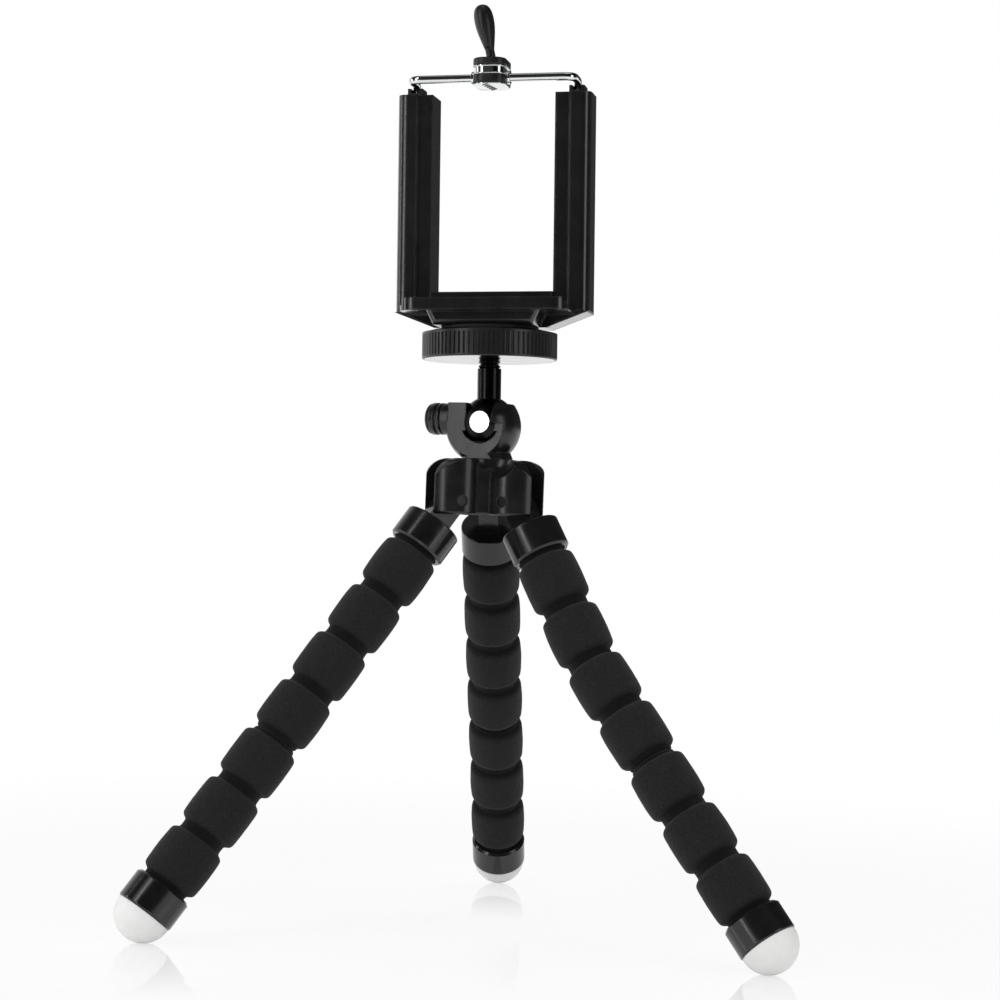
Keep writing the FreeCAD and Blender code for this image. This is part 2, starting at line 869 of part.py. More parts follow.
# Hub. Drawn from its underside up, with the first lobe along X.
def make_hub():
    body = body_named("hub_body")
    core = ring(new_sketch(body, "hub_core_outline", "XY_Plane"), size.hub_core_radius)
    pad(body, core, size.hub_height, "hub_core")
    lobe = ring(new_sketch(body, "hub_lobe_outline", "XY_Plane"), size.lobe_radius, size.lobe_offset)
    first = pad(body, lobe, size.hub_height, "hub_lobe")
    around(body, first, lobe, LEGS, "hub_lobes")
    tip = size.lobe_offset + size.lobe_radius
    turn(
        body,
        "hub_round_top",
        [
            (tip - size.hub_top_round, size.hub_height, -size.hub_top_round),
            (tip, size.hub_height - size.hub_top_round),
            (tip + 2, size.hub_height - size.hub_top_round),
            (tip + 2, size.hub_height + 1),
            (tip - size.hub_top_round, size.hub_height + 1),
        ],
        cut=True,
    )
    soften(
        body,
        "hub_bottom_round",
        size.hub_edge_round,
        lambda e: abs(e.BoundBox.ZMax) < 1e-6 and e.BoundBox.ZLength < 1e-6,
    )
    slot = new_sketch(body, "hub_slot_outline", "XY_Plane")
    outline(
        slot,
        [
            (size.slot_start, -size.slot_width / 2),
            (tip + 1, -size.slot_width / 2),
            (tip + 1, size.slot_width / 2),
            (size.slot_start, size.slot_width / 2),
        ],
    )
    cut = pocket(body, slot, size.hub_height, "hub_slot", backward=True)
    around(body, cut, slot, LEGS, "hub_slots")
    bore = new_sketch(body, "hub_pin_outline", "XZ_Plane")
    ring(bore, size.pin_diameter / 2, size.hinge_radius, size.pin_above_bottom)
    hole = pocket(body, bore, size.lobe_radius * 3, "hub_pin_hole", symmetric=True)
    flat = ring(new_sketch(body, "hub_pattern_axis", "XY_Plane"), size.pin_diameter)
    around(body, hole, flat, LEGS, "hub_pin_holes")
    shank = size.screw_diameter / 2 + size.screw_clearance
    head = size.screw_head_diameter / 2 + size.screw_clearance
    turn(
        body,
        "hub_screw_hole",
        [
            (0, 0),
            (head, 0),
            (head, size.screw_head_height),
            (shank, size.screw_head_height),
            (shank, size.hub_height),
            (0, size.hub_height),
        ],
        cut=True,
    )
    scoops = []
    for number in range(LEGS):
        facing = Rotation(Vector(0, 0, 1), 360.0 / LEGS * number)
        scoop = solid("Sphere", "hub_scoop_" + str(number + 1), Radius=size.scoop_radius)
        centre = Vector(size.scoop_out.value, -size.scoop_side.value, (size.hub_height + 1).value)
        scoop.Placement = Placement(facing.multVec(centre), facing)
        scoops.append(scoop)
    return minus("hub_cut", body, *scoops)


hub_bottom = size.hinge_height - size.pin_above_bottom
hub_top = hub_bottom + size.hub_height
hub_place = Placement(Vector(0, 0, hub_bottom.value), Rotation(Vector(0, 0, 1), 90))
node("hub", make_hub(), hub_place)


def make_pins():
    """The three hinge pins, as one group of separate solids."""
    half = root(size.lobe_radius * size.lobe_radius - (size.hinge_radius - size.lobe_offset) * (size.hinge_radius - size.lobe_offset))
    pin_length = (half - size.pin_end_gap) * 2
    pins = []
    for number in range(LEGS):
        facing = Rotation(Vector(0, 0, 1), 360.0 / LEGS * number)
        pin = solid(
            "Cylinder", "hinge_pin_" + str(number + 1), Radius=size.pin_diameter / 2, Height=pin_length
        )
        start = Vector(size.hinge_radius.value, -pin_length.value / 2, size.pin_above_bottom.value)
        pin.Placement = Placement(facing.multVec(start), facing * ALONG_Y)
        pins.append(pin)
    return group("hinge_pins_group", *pins)


node("hinge_pins", make_pins(), hub_place)

# The head screw comes up through the hub into the pedestal of the cup.
screw_end = size.hub_height + size.screw_engagement
screw_body = body_named("head_screw_body")
turn(
    screw_body,
    "head_screw_turned",
    [
        (0, 0),
        (size.screw_head_diameter / 2, 0),
        (size.screw_head_diameter / 2, size.screw_head_height),
        (size.screw_diameter / 2, size.screw_head_height),
        (size.screw_diameter / 2, screw_end),
        (0, screw_end),
    ],
)
cross_bars = []
for long_x, long_y in ((size.recess_length, size.recess_width), (size.recess_width, size.recess_length)):
    bar = solid(
        "Box",
        "head_screw_bar_" + str(len(cross_bars) + 1),
        (-long_x / 2, -long_y / 2, -size.recess_depth),
        Length=long_x,
        Width=long_y,
        Height=size.recess_depth * 2,
    )
    cross_bars.append(bar)
node("head_screw", minus("head_screw_cut", screw_body, *cross_bars), hub_place)

# Ball head. Drawn about the middle of the ball, with the notch towards -Y.
ball_height = hub_top + size.ball_above_hub
cup_turned = Rotation(Vector(0, 0, 1), size.cup_turn.value)
cup_place = Placement(Vector(0, 0, ball_height.value), cup_turned)
lean = Rotation(Vector(0, 1, 0), size.head_lean.value)
ball_place = Placement(Vector(0, 0, ball_height.value), lean * cup_turned)


def on_head(height, turned=Rotation()):
    """A place on the leaning stem's axis, at this height when the head stands upright."""
    up = Placement(Vector(0, 0, (height - ball_height).value), turned)
    return Placement(Vector(0, 0, ball_height.value), lean).multiply(up)


seat_outer = size.ball_radius + size.ball_clearance + size.seat_thickness
swing_radius = seat_outer + size.ball_clearance
notch_radius = size.notch_width / 2
lock_hole = size.lock_screw_diameter / 2 + size.lock_screw_clearance


def make_cup():
    ball_room = size.ball_radius + size.ball_clearance
    shell = solid("Sphere", "cup_shell", (-size.cup_shift, 0, -size.cup_drop), Radius=size.cup_radius)
    arm = solid(
        "Box",
        "cup_arm",
        (-size.cup_arm - size.cup_shift, -size.cup_face, -size.cup_drop),
        Length=size.cup_arm,
        Width=size.cup_face,
        Height=size.cup_rim + size.cup_drop,
    )
    foot = solid(
        "Cone",
        "cup_pedestal",
        (0, 0, -size.ball_above_hub),
        Radius1=size.pedestal_bottom_radius,
        Radius2=size.pedestal_top_radius,
        Height=size.pedestal_height,
    )
    boss = solid(
        "Cylinder",
        "cup_lock_boss",
        (-size.lock_boss_reach, 0, size.lock_height),
        ALONG_X,
        Radius=size.lock_boss_radius,
        Height=size.lock_boss_reach - size.ball_radius / 2,
    )
    whole = plus("cup_whole", shell, arm, foot, boss)
    room = solid("Sphere", "cup_ball_room", Radius=ball_room)
    swing = solid("Sphere", "cup_seat_room", Radius=swing_radius)
    low = solid(
        "Box",
        "cup_seat_limit",
        (-size.cup_radius, -size.cup_radius, -size.cup_radius * 2 - size.seat_depth + size.seat_swing_depth),
        Length=size.cup_radius * 2,
        Width=size.cup_radius * 2,
        Height=size.cup_radius * 2,
    )
    low_room = doc.addObject("Part::Common", "cup_low_room")
    low_room.Base = swing
    low_room.Tool = low
    top = solid(
        "Box",
        "cup_top_cut",
        (-size.cup_radius * 2, -size.cup_radius * 2, size.cup_rim),
        Length=size.cup_radius * 4,
        Width=size.cup_radius * 4,
        Height=size.cup_radius,
    )
    front_left = solid(
        "Box",
        "cup_front_cut",
        (-size.cup_radius * 2, -size.cup_face - size.cup_radius, -size.ball_above_hub + 0.01),
        Length=size.cup_radius * 2 + size.bulge_side,
        Width=size.cup_radius,
        Height=size.cup_radius * 3,
    )
    front_right = solid(
        "Box",
        "cup_front_low_cut",
        (0, -size.cup_face - size.cup_radius, -size.ball_above_hub + 0.01),
        Length=size.cup_radius * 2,
        Width=size.cup_radius,
        Height=size.ball_above_hub + size.bulge_bottom,
    )
    notch = solid(
        "Box",
        "cup_notch",
        (-notch_radius, -size.cup_radius * 2, -size.notch_drop),
        Length=size.notch_width,
        Width=size.cup_radius * 2,
        Height=size.cup_radius * 2,
    )
    notch_floor = solid(
        "Cylinder",
        "cup_notch_floor",
        (0, -size.cup_radius * 2, -size.notch_drop),
        ALONG_Y,
        Radius=notch_radius,
        Height=size.cup_radius * 2,
    )
    lock_way = solid(
        "Cylinder",
        "cup_lock_way",
        (-size.lock_boss_reach * 2, 0, size.lock_height),
        ALONG_X,
        Radius=lock_hole,
        Height=size.lock_boss_reach * 2,
    )
    nut_room = solid(
        "Prism",
        "cup_nut_room",
        (-size.lock_boss_reach + size.nut_inset, 0, size.lock_height),
        ALONG_X,
        Circumradius=nut_circle + size.screw_clearance,
        Height=size.nut_thickness + size.screw_clearance,
    )
    nut_room.Polygon = 6
    screw_way = solid(
        "Cylinder",
        "cup_screw_way",
        (0, 0, -size.ball_above_hub - 1),
        Radius=size.screw_diameter / 2,
        Height=size.screw_engagement + size.screw_end_gap + 1,
    )
    below = solid(
        "Box",
        "cup_bottom_cut",
        (-size.cup_radius, -size.cup_radius, -size.ball_above_hub - size.cup_radius),
        Length=size.cup_radius * 2,
        Width=size.cup_radius * 2,
        Height=size.cup_radius,
    )
    return minus(
        "cup_cut", whole, room, low_room, top, front_left, front_right, notch, notch_floor,
        lock_way, nut_room, screw_way, below,
    )


nut_circle = size.nut_flats / math.sqrt(3)
node("ball_cup", make_cup(), cup_place)

# The lock nut sits inside the boss, and the lock screw's tip bears on the ball.
nut_blank = solid(
    "Prism",
    "lock_nut_blank",
    (-size.lock_boss_reach + size.nut_inset, 0, size.lock_height),
    ALONG_X,
    Circumradius=nut_circle,
    Height=size.nut_thickness,
)
nut_blank.Polygon = 6
nut_bore = solid(
    "Cylinder",
    "lock_nut_bore",
    (-size.lock_boss_reach * 2, 0, size.lock_height),
    ALONG_X,
    Radius=lock_hole,
    Height=size.lock_boss_reach * 2,
)
node("lock_nut", minus("lock_nut_cut", nut_blank, nut_bore), cup_place)


def lock_frame(reach):
    """A place on the lock's axis, with local Z along the screw towards the knob."""
    point = Vector(-reach, 0, size.lock_height.value)
    return cup_place.multiply(Placement(point, Rotation(Vector(0, 1, 0), -90)))


tip_reach = root(
    (size.ball_radius + size.lock_tip_gap) * (size.ball_radius + size.lock_tip_gap) - size.lock_height * size.lock_height
)
knob_start = size.lock_boss_reach + size.knob_gap
lock_screw = body_named("lock_screw_body")
turn(
    lock_screw,
    "lock_screw_turned",
    [
        (0, tip_reach),
        (size.lock_screw_diameter / 2 - size.lock_tip_chamfer, tip_reach),
        (size.lock_screw_diameter / 2, tip_reach + size.lock_tip_chamfer),
        (size.lock_screw_diameter / 2, knob_start + size.knob_length - size.lock_screw_cover),
        (0, knob_start + size.knob_length - size.lock_screw_cover),
    ],
)
node("lock_screw", lock_screw, lock_frame(0))

knob = body_named("lock_knob_body")
turn(
    knob,
    "lock_knob_turned",
    [
        (0, knob_start),
        (size.knob_radius, knob_start),
        (size.knob_radius, knob_start + size.knob_length - size.knob_round, size.knob_round),
        (size.knob_radius - size.knob_round, knob_start + size.knob_length),
        (0, knob_start + size.knob_length),
    ],
)
flute_outline = ring(
    new_sketch(knob, "lock_knob_flute_outline", "XY_Plane", knob_start - 0.5),
    size.knob_flute_radius,
    size.knob_radius + size.knob_flute_radius / 4,
)
flute = pocket(knob, flute_outline, size.knob_length, "lock_knob_flute", backward=True)
around(knob, flute, flute_outline, size.knob_flutes, "lock_knob_flutes")
turn(
    knob,
    "lock_knob_bore",
    [
        (0, knob_start - 1),
        (size.lock_screw_diameter / 2, knob_start - 1),
        (size.lock_screw_diameter / 2, knob_start + size.knob_length - size.lock_screw_cover),
        (0, knob_start + size.knob_length - size.lock_screw_cover),
    ],
    cut=True,
)
node("lock_knob", knob, lock_frame(0))

# The bearing bowl under the ball.
seat_inner = size.ball_radius + size.ball_clearance
seat_top = -(size.seat_depth + size.seat_swing_depth * 2)
seat_blank = solid("Sphere", "ball_seat_outer", Radius=seat_outer)
seat_space = solid("Sphere", "ball_seat_inner", Radius=seat_inner)
seat_limit = solid(
    "Box",
    "ball_seat_limit",
    (-size.cup_radius, -size.cup_radius, seat_top),
    Length=size.cup_radius * 2,
    Width=size.cup_radius * 2,
    Height=size.cup_radius * 3,
)
node("ball_seat", minus("ball_seat_cut", seat_blank, seat_space, seat_limit), cup_place)

# Ball, cross pin and stem.
cross_radius = size.cross_pin_diameter / 2
ball_blank = solid("Sphere", "ball_blank", Radius=size.ball_radius)
ball_top = solid(
    "Box",
    "ball_top_cut",
    (-size.ball_radius, -size.ball_radius, size.ball_flat),
    Length=size.ball_radius * 2,
    Width=size.ball_radius * 2,
    Height=size.ball_radius,
)
ball_cross = solid(
    "Cylinder",
    "ball_cross_bore",
    (0, -size.ball_radius * 2, 0),
    ALONG_Y,
    Radius=cross_radius,
    Height=size.ball_radius * 4,
)
ball_tenon = solid("Cylinder", "ball_tenon_bore", Radius=size.tenon_radius, Height=size.ball_radius * 2)
node("ball", minus("ball_cut", ball_blank, ball_top, ball_cross, ball_tenon), ball_place)

cross_half = root(size.ball_radius * size.ball_radius - cross_radius * cross_radius) - size.cross_pin_inset
cross_pin = body_named("cross_pin_body")
turn(
    cross_pin,
    "cross_pin_turned",
    [
        (0, -cross_half),
        (cross_radius - size.cross_pin_chamfer, -cross_half),
        (cross_radius, -cross_half + size.cross_pin_chamfer),
        (cross_radius, cross_half - size.cross_pin_chamfer),
        (cross_radius - size.cross_pin_chamfer, cross_half),
        (0, cross_half),
    ],
)
node(
    "cross_pin",
    cross_pin,
    ball_place.multiply(Placement(Vector(0, 0, 0), ALONG_Y)),
)

stem = body_named("ball_stem_body")
stem_top = size.ball_flat + size.stem_length
thread_top = stem_top + size.thread_count * size.thread_pitch
turn(
    stem,
    "ball_stem_turned",
    [
        (0, cross_radius),
        (size.tenon_radius, cross_radius),
        (size.tenon_radius, size.ball_flat),
        (size.stem_radius, size.ball_flat),
        (size.stem_radius, stem_top),
        (size.thread_radius - size.thread_depth, stem_top),
        (size.thread_radius - size.thread_depth, thread_top),
        (0, thread_top),
    ],
)
ridge = turn(
    stem,
    "ball_stem_ridge",
    [
        (0, stem_top),
        (size.thread_radius - size.thread_depth, stem_top),
        (size.thread_radius, stem_top + size.thread_pitch * RIDGE_START),
        (size.thread_radius, stem_top + size.thread_pitch * RIDGE_END),
        (size.thread_radius - size.thread_depth, stem_top + size.thread_pitch * RIDGE_FOOT),
        (0, stem_top + size.thread_pitch * RIDGE_FOOT),
    ],
)
along(
    stem,
    ridge,
    (ridge.Profile[0], ["V_Axis"]),
    size.thread_count,
    (size.thread_count - 1) * size.thread_pitch,
    "ball_stem_thread",
)
saddle = doc.addObject("Part::Cylinder", "stem_saddle")
saddle.Placement = Placement(Vector(0, -size.stem_radius.value * 2, 0), ALONG_Y)
bind(saddle, "Radius", cross_radius)
bind(saddle, "Height", size.stem_radius * 4)
node("ball_stem", minus("ball_stem_cut", stem, saddle), ball_place)

# Platform disc with its knurl and the rubber ring on top.
disc_bottom = ball_height + stem_top + size.disc_above_stem
disc_rise = size.disc_side + size.disc_top_rise
stem_room = size.thread_radius + size.running_clearance
disc = body_named("platform_disc_body")
turn(
    disc,
    "platform_disc_turned",
    [
        (stem_room, 0),
        (size.disc_radius - size.disc_edge, 0),
        (size.disc_radius, size.disc_edge),
        (size.disc_radius, size.disc_side),
        (size.disc_top_radius, disc_rise),
        (stem_room, disc_rise),
    ],
)
knurl_outline = new_sketch(disc, "platform_disc_knurl_outline", "XY_Plane", size.knurl_margin)
half_step = size.disc_radius * math.pi / size.knurl_count / 2
outline(
    knurl_outline,
    [
        (size.disc_radius - size.knurl_depth, 0),
        (size.disc_radius + size.knurl_depth, -half_step * 2),
        (size.disc_radius + size.knurl_depth, half_step * 2),
    ],
)
knurl = pocket(
    disc, knurl_outline, size.disc_side - size.knurl_margin * 2, "platform_disc_knurl", backward=True
)
around(disc, knurl, knurl_outline, size.knurl_count, "platform_disc_knurls")
node("platform_disc", disc, on_head(disc_bottom))

disc_pad = body_named("disc_pad_body")
turn(
    disc_pad,
    "disc_pad_turned",
    [
        (size.pad_inner_radius, disc_rise),
        (size.pad_radius, disc_rise),
        (size.pad_radius, disc_rise + size.pad_thickness),
        (size.pad_inner_radius, disc_rise + size.pad_thickness),
    ],
)
node("disc_pad", disc_pad, on_head(disc_bottom))

# Phone holder. Drawn from the underside of its base on the stem's axis, front towards -Y.
holder_bottom = disc_bottom + disc_rise + size.pad_thickness + size.holder_gap
holder_place = on_head(holder_bottom, Rotation(Vector(0, 0, 1), size.holder_turn.value))
rail_inner = size.holder_half_width - size.rail_width
rod_radius = size.rod_diameter / 2
rod_height = size.rail_top + size.rod_above_rail
wire_top = rod_height - size.rod_bend_radius
insert_circle = size.insert_flats / math.sqrt(3)
thread_reach = stem_top + size.thread_count * size.thread_pitch - (holder_bottom - ball_height)


def make_base():
    body = body_named("holder_base_body")
    slope = new_sketch(body, "holder_base_slope_outline", "XZ_Plane")
    outline(
        slope,
        [
            (-size.base_plateau, 0),
            (size.base_plateau, 0),
            (size.holder_half_width, size.base_slant),
            (-size.holder_half_width, size.base_slant),
        ],
    )
    pad(body, slope, size.rail_depth, "holder_base_slope", backward=True)
    bar = new_sketch(body, "holder_base_bar_outline", "XZ_Plane")
    outline(
        bar,
        [
            (-rail_inner, size.base_slant / 2),
            (rail_inner, size.base_slant / 2),
            (rail_inner, size.base_top),
            (-rail_inner, size.base_top),
        ],
    )
    pad(body, bar, size.rail_depth, "holder_base_bar", backward=True)
    keel = new_sketch(body, "holder_base_keel_outline", "XZ_Plane")
    outline(
        keel,
        [
            (-size.keel_bottom_half_width, 0),
            (size.keel_bottom_half_width, 0),
            (size.keel_half_width, (size.jaw_bottom + size.jaw_floor) / 2),
            (-size.keel_half_width, (size.jaw_bottom + size.jaw_floor) / 2),
        ],
    )
    pad(body, keel, size.base_front, "holder_base_keel")
    soften(
        body,
        "holder_base_keel_round",
        size.keel_round,
        lambda e: e.BoundBox.YLength < 1e-6
        and abs(e.BoundBox.YMin + size.base_front.value) < 1e-6
        and e.BoundBox.ZMin < size.jaw_bottom.value / 2,
    )
    jaw = new_sketch(body, "holder_base_jaw_outline", "XY_Plane", size.jaw_bottom)
    outline(
        jaw,
        [
            (-size.jaw_half_width + size.jaw_corner, -size.jaw_reach),
            (size.jaw_half_width - size.jaw_corner, -size.jaw_reach, size.jaw_corner),
            (size.jaw_half_width, -size.jaw_reach + size.jaw_corner),
            (size.jaw_half_width, 1),
            (-size.jaw_half_width, 1),
            (-size.jaw_half_width, -size.jaw_reach + size.jaw_corner, size.jaw_corner),
        ],
    )
    pad(body, jaw, size.jaw_top - size.jaw_bottom, "holder_base_jaw")
    floor = new_sketch(body, "holder_base_floor_outline", "XY_Plane", size.jaw_top)
    outline(
        floor,
        [
            (-size.jaw_half_width - 1, -size.jaw_reach + size.jaw_lip),
            (size.jaw_half_width + 1, -size.jaw_reach + size.jaw_lip),
            (size.jaw_half_width + 1, 0),
            (-size.jaw_half_width - 1, 0),
        ],
    )
    pocket(body, floor, size.jaw_top - size.jaw_floor, "holder_base_floor")
    bore = ring(new_sketch(body, "holder_base_bore_outline", "XY_Plane"), stem_room)
    pocket(body, bore, thread_reach + size.thread_end_gap, "holder_base_bore", backward=True)
    room = solid("Prism", "holder_base_insert_room", (0, 0, -0.5), Circumradius=insert_circle)
    room.Polygon = 6
    room.Height = (size.insert_start + size.insert_height + 0.5).value
    bind(room, "Height", size.insert_start + size.insert_height + 0.5)
    seats = []
    for sign in (-1, 1):
        seats.append(make_rail("holder_base_seat_" + str(sign + 1), sign, True))
    return minus("holder_base_cut", body, room, *seats)


def make_rail(name, sign, for_seat=False):
    """One upright of the frame, a channel for a leg of the hoop."""
    body = body_named(name + "_body")
    section = new_sketch(body, name + "_outline", "XY_Plane", size.base_slant)
    back_round = size.rail_front_round / 2
    points = [
        (rail_inner, size.rail_step_depth),
        (rail_inner + size.rail_step_width, size.rail_step_depth),
        (rail_inner + size.rail_step_width, 0),
        (size.holder_half_width - size.rail_front_round, 0, size.rail_front_round),
        (size.holder_half_width, size.rail_front_round),
        (size.holder_half_width, size.rail_depth - back_round, back_round),
        (size.holder_half_width - back_round, size.rail_depth),
        (rail_inner, size.rail_depth),
    ]
    corners = []
    for point in points:
        x = sized(sign) * point[0]
        if len(point) == 3:
            corners.append((x, point[1], sized(sign) * point[2]))
        else:
            corners.append((x, point[1]))
    outline(section, corners)
    pad(body, section, size.rail_top - size.base_slant, name + "_upright")
    if for_seat:
        return body
    channel = new_sketch(body, name + "_channel_outline", "XY_Plane", size.rail_top)
    ring(channel, size.channel_radius, sized(sign) * size.wire_side, size.wire_back)
    pocket(body, channel, size.rail_top - size.channel_bottom, name + "_channel")
    return body


def make_insert():
    blank = solid("Prism", "holder_insert_blank", (0, 0, size.insert_start), Circumradius=insert_circle)
    blank.Polygon = 6
    blank.Height = size.insert_height.value
    bind(blank, "Height", size.insert_height)
    bore = solid("Cylinder", "holder_insert_bore", Radius=stem_room, Height=size.insert_height * 3)
    return minus("holder_insert_cut", blank, bore)


def make_jaw_pad():
    body = body_named("jaw_pad_body")
    shape = new_sketch(body, "jaw_pad_outline", "XY_Plane", size.jaw_floor)
    side = size.jaw_half_width - size.jaw_pad_inset
    front = -size.jaw_reach + size.jaw_lip + size.jaw_pad_inset / 2
    outline(shape, [(-side, front), (side, front), (side, -size.jaw_pad_inset / 2), (-side, -size.jaw_pad_inset / 2)])
    pad(body, shape, size.jaw_pad_thickness, "jaw_pad_sheet")
    return body


def make_plug(name, sign):
    """The stopper at the top of an upright: it guides the wire and carries its bend."""
    x = sized(sign) * size.wire_side
    barrel = solid(
        "Cylinder",
        name + "_barrel",
        (x, size.wire_back, size.rail_top - size.plug_length),
        Radius=size.channel_radius - size.plug_clearance,
        Height=size.plug_length,
    )
    head = solid(
        "Box",
        name + "_head",
        (x - size.plug_head_width / 2, size.wire_back - size.channel_radius, size.rail_top),
        Length=size.plug_head_width,
        Width=size.channel_radius * 2,
        Height=size.plug_head_height,
    )
    way = solid(
        "Cylinder",
        name + "_way",
        (x, size.wire_back, size.rail_top - size.plug_length - 1),
        Radius=rod_radius + size.running_clearance,
        Height=size.plug_length * 2,
    )
    slot = solid(
        "Box",
        name + "_slot",
        (x - rod_radius - size.running_clearance, size.wire_back - size.channel_radius * 2, wire_top - 0.1),
        Length=(rod_radius + size.running_clearance) * 2,
        Width=size.channel_radius * 2,
        Height=size.plug_head_height * 2,
    )
    return minus(name + "_cut", plus(name + "_whole", barrel, head), way, slot)


def make_hoop():
    """The chromed wire: two legs, two runs forward and the rod across, with round bends."""
    pieces = []
    run = size.wire_back + size.rod_forward - size.rod_bend_radius * 2
    for word, sign in (("left", -1), ("right", 1)):
        x = sized(sign) * size.wire_side
        inner_x = sized(sign) * (size.wire_side - size.rod_bend_radius)
        pieces.append(
            solid(
                "Cylinder",
                "hoop_leg_" + word,
                (x, size.wire_back, size.wire_bottom),
                Radius=rod_radius,
                Height=wire_top - size.wire_bottom,
            )
        )
        pieces.append(
            solid(
                "Torus",
                "hoop_upper_bend_" + word,
                (x, size.wire_back - size.rod_bend_radius, wire_top),
                Rotation(Vector(1, 1, 1), 120),
                Radius1=size.rod_bend_radius,
                Radius2=rod_radius,
                Angle3=90,
            )
        )
        pieces.append(
            solid(
                "Cylinder",
                "hoop_run_" + word,
                (x, -size.rod_forward + size.rod_bend_radius, rod_height),
                ALONG_Y,
                Radius=rod_radius,
                Height=run,
            )
        )
        turned = Rotation(Vector(1, 0, 0), 180) if sign > 0 else Rotation(Vector(0, 0, 1), 180)
        pieces.append(
            solid(
                "Torus",
                "hoop_front_bend_" + word,
                (inner_x, -size.rod_forward + size.rod_bend_radius, rod_height),
                turned,
                Radius1=size.rod_bend_radius,
                Radius2=rod_radius,
                Angle3=90,
            )
        )
    pieces.append(
        solid(
            "Cylinder",
            "hoop_rod",
            (-(size.wire_side - size.rod_bend_radius), -size.rod_forward, rod_height),
            ALONG_X,
            Radius=rod_radius,
            Height=(size.wire_side - size.rod_bend_radius) * 2,
        )
    )
    return plus("hoop_joined", *pieces)


def sleeve(name, x, y, bottom, outer, inner, height):
    blank = solid("Cylinder", name + "_blank", (x, y, bottom), Radius=outer, Height=height)
    hole = solid("Cylinder", name + "_hole", (x, y, bottom - 1), Radius=inner, Height=height + 2)
    return minus(name + "_cut", blank, hole)


def make_collars():
    rings = []
    for word, sign in (("left", -1), ("right", 1)):
        rings.append(
            sleeve(
                "collar_" + word,
                sized(sign) * size.wire_side,
                size.wire_back,
                size.wire_bottom,
                size.collar_radius,
                rod_radius,
                size.collar_height,
            )
        )
    return group("wire_collars_group", *rings)


def make_spring(word, sign):
    """A coil round the wire, between its collar and the plug."""
    bottom = size.wire_bottom + size.collar_height + size.spring_end_gap
    top = size.rail_top - size.plug_length - size.spring_end_gap
    return sleeve(
        "spring_" + word,
        sized(sign) * size.wire_side,
        size.wire_back,
        bottom,
        size.spring_outer,
        size.spring_outer - size.spring_wall,
        top - bottom,
    )


node("holder_base", make_base(), holder_place)
for side, sign in (("left", -1), ("right", 1)):
    node("rail_" + side, make_rail("rail_" + side, sign), holder_place)
    node("rail_plug_" + side, make_plug("rail_plug_" + side, sign), holder_place)
    node("spring_" + side, make_spring(side, sign), holder_place)
node("holder_insert", make_insert(), holder_place)
node("jaw_pad", make_jaw_pad(), holder_place)
node("hoop", make_hoop(), holder_place)
node("wire_collars", make_collars(), holder_place)

# Catch. Drawn about the rod's axis.
catch_place = holder_place.multiply(
    Placement(Vector(0, -size.rod_forward.value, rod_height.value), Rotation())
)
barrel_bore = rod_radius + size.running_clearance


def rounded_block(name, half_width, half_depth, bottom, top):
    body = body_named(name + "_body")
    shape = new_sketch(body, name + "_outline", "XY_Plane", bottom)
    outline(
        shape,
        [
            (-half_width + size.catch_round, -half_depth),
            (half_width - size.catch_round, -half_depth, size.catch_round),
            (half_width, -half_depth + size.catch_round),
            (half_width, half_depth - size.catch_round, size.catch_round),
            (half_width - size.catch_round, half_depth),
            (-half_width + size.catch_round, half_depth, size.catch_round),
            (-half_width, half_depth - size.catch_round),
            (-half_width, -half_depth + size.catch_round, size.catch_round),
        ],
    )
    pad(body, shape, top - bottom, name + "_block")
    return body


def along_rod(name, radius, length):
    return solid("Cylinder", name, (-length / 2, 0, 0), ALONG_X, Radius=radius, Height=length)


def make_catch_plate():
    block = rounded_block(
        "catch_plate", size.catch_width / 2, size.catch_depth / 2, size.plate_bottom, size.plate_top
    )
    barrel = along_rod("catch_plate_barrel", size.barrel_radius, size.catch_width)
    bore = along_rod("catch_plate_bore", barrel_bore, size.catch_width * 2)
    return minus("catch_plate_cut", plus("catch_plate_whole", block, barrel), bore)


def lever_bar(name, bottom, top, lean):
    bar = solid(
        "Box",
        name,
        Length=size.lever_width,
        Width=size.lever_thickness,
        Height=top - bottom,
    )
    tilt = Placement(Vector(0, 0, bottom.value), Rotation(Vector(0, 1, 0), lean))
    corner = Vector(-size.lever_width.value / 2, -size.lever_thickness.value / 2, 0)
    bar.Placement = tilt.multiply(Placement(corner, Rotation()))
    return bar


def make_upper_pad():
    block = rounded_block(
        "catch_pad_upper", size.catch_width / 2, size.catch_depth / 2, size.plate_top, size.upper_pad_top
    )
    return minus(
        "catch_pad_upper_cut", block, lever_bar("catch_pad_slot", size.plate_top, size.upper_pad_top * 2, 0)
    )


def make_lower_pad():
    block = rounded_block(
        "catch_pad_lower", size.catch_width / 2, size.catch_depth / 2, -size.lower_pad_bottom, size.plate_bottom
    )
    cuts = [along_rod("catch_pad_lower_bore", size.barrel_radius, size.catch_width * 2)]
    first = -(size.tread_count - 1) * size.tread_pitch / 2
    for number in range(int(size.tread_count.value)):
        cuts.append(
            solid(
                "Box",
                "catch_tread_" + str(number + 1),
                (
                    -size.tread_length / 2,
                    first + number * size.tread_pitch - size.tread_width / 2,
                    -size.lower_pad_bottom - 0.5,
                ),
                Length=size.tread_length,
                Width=size.tread_width,
                Height=size.tread_depth + 0.5,
            )
        )
    return minus("catch_pad_lower_cut", block, *cuts)


def make_lever(name):
    tenon = lever_bar(name + "_tenon", size.plate_top, size.upper_pad_top, 0)
    blade = lever_bar(name + "_blade", size.upper_pad_top, size.lever_top, size.lever_lean.value)
    knee = solid(
        "Cylinder",
        name + "_knee",
        (0, -size.lever_thickness / 2, size.upper_pad_top),
        ALONG_Y,
        Radius=size.lever_width / 2,
        Height=size.lever_thickness,
    )
    return plus(name + "_joined", tenon, blade, knee)


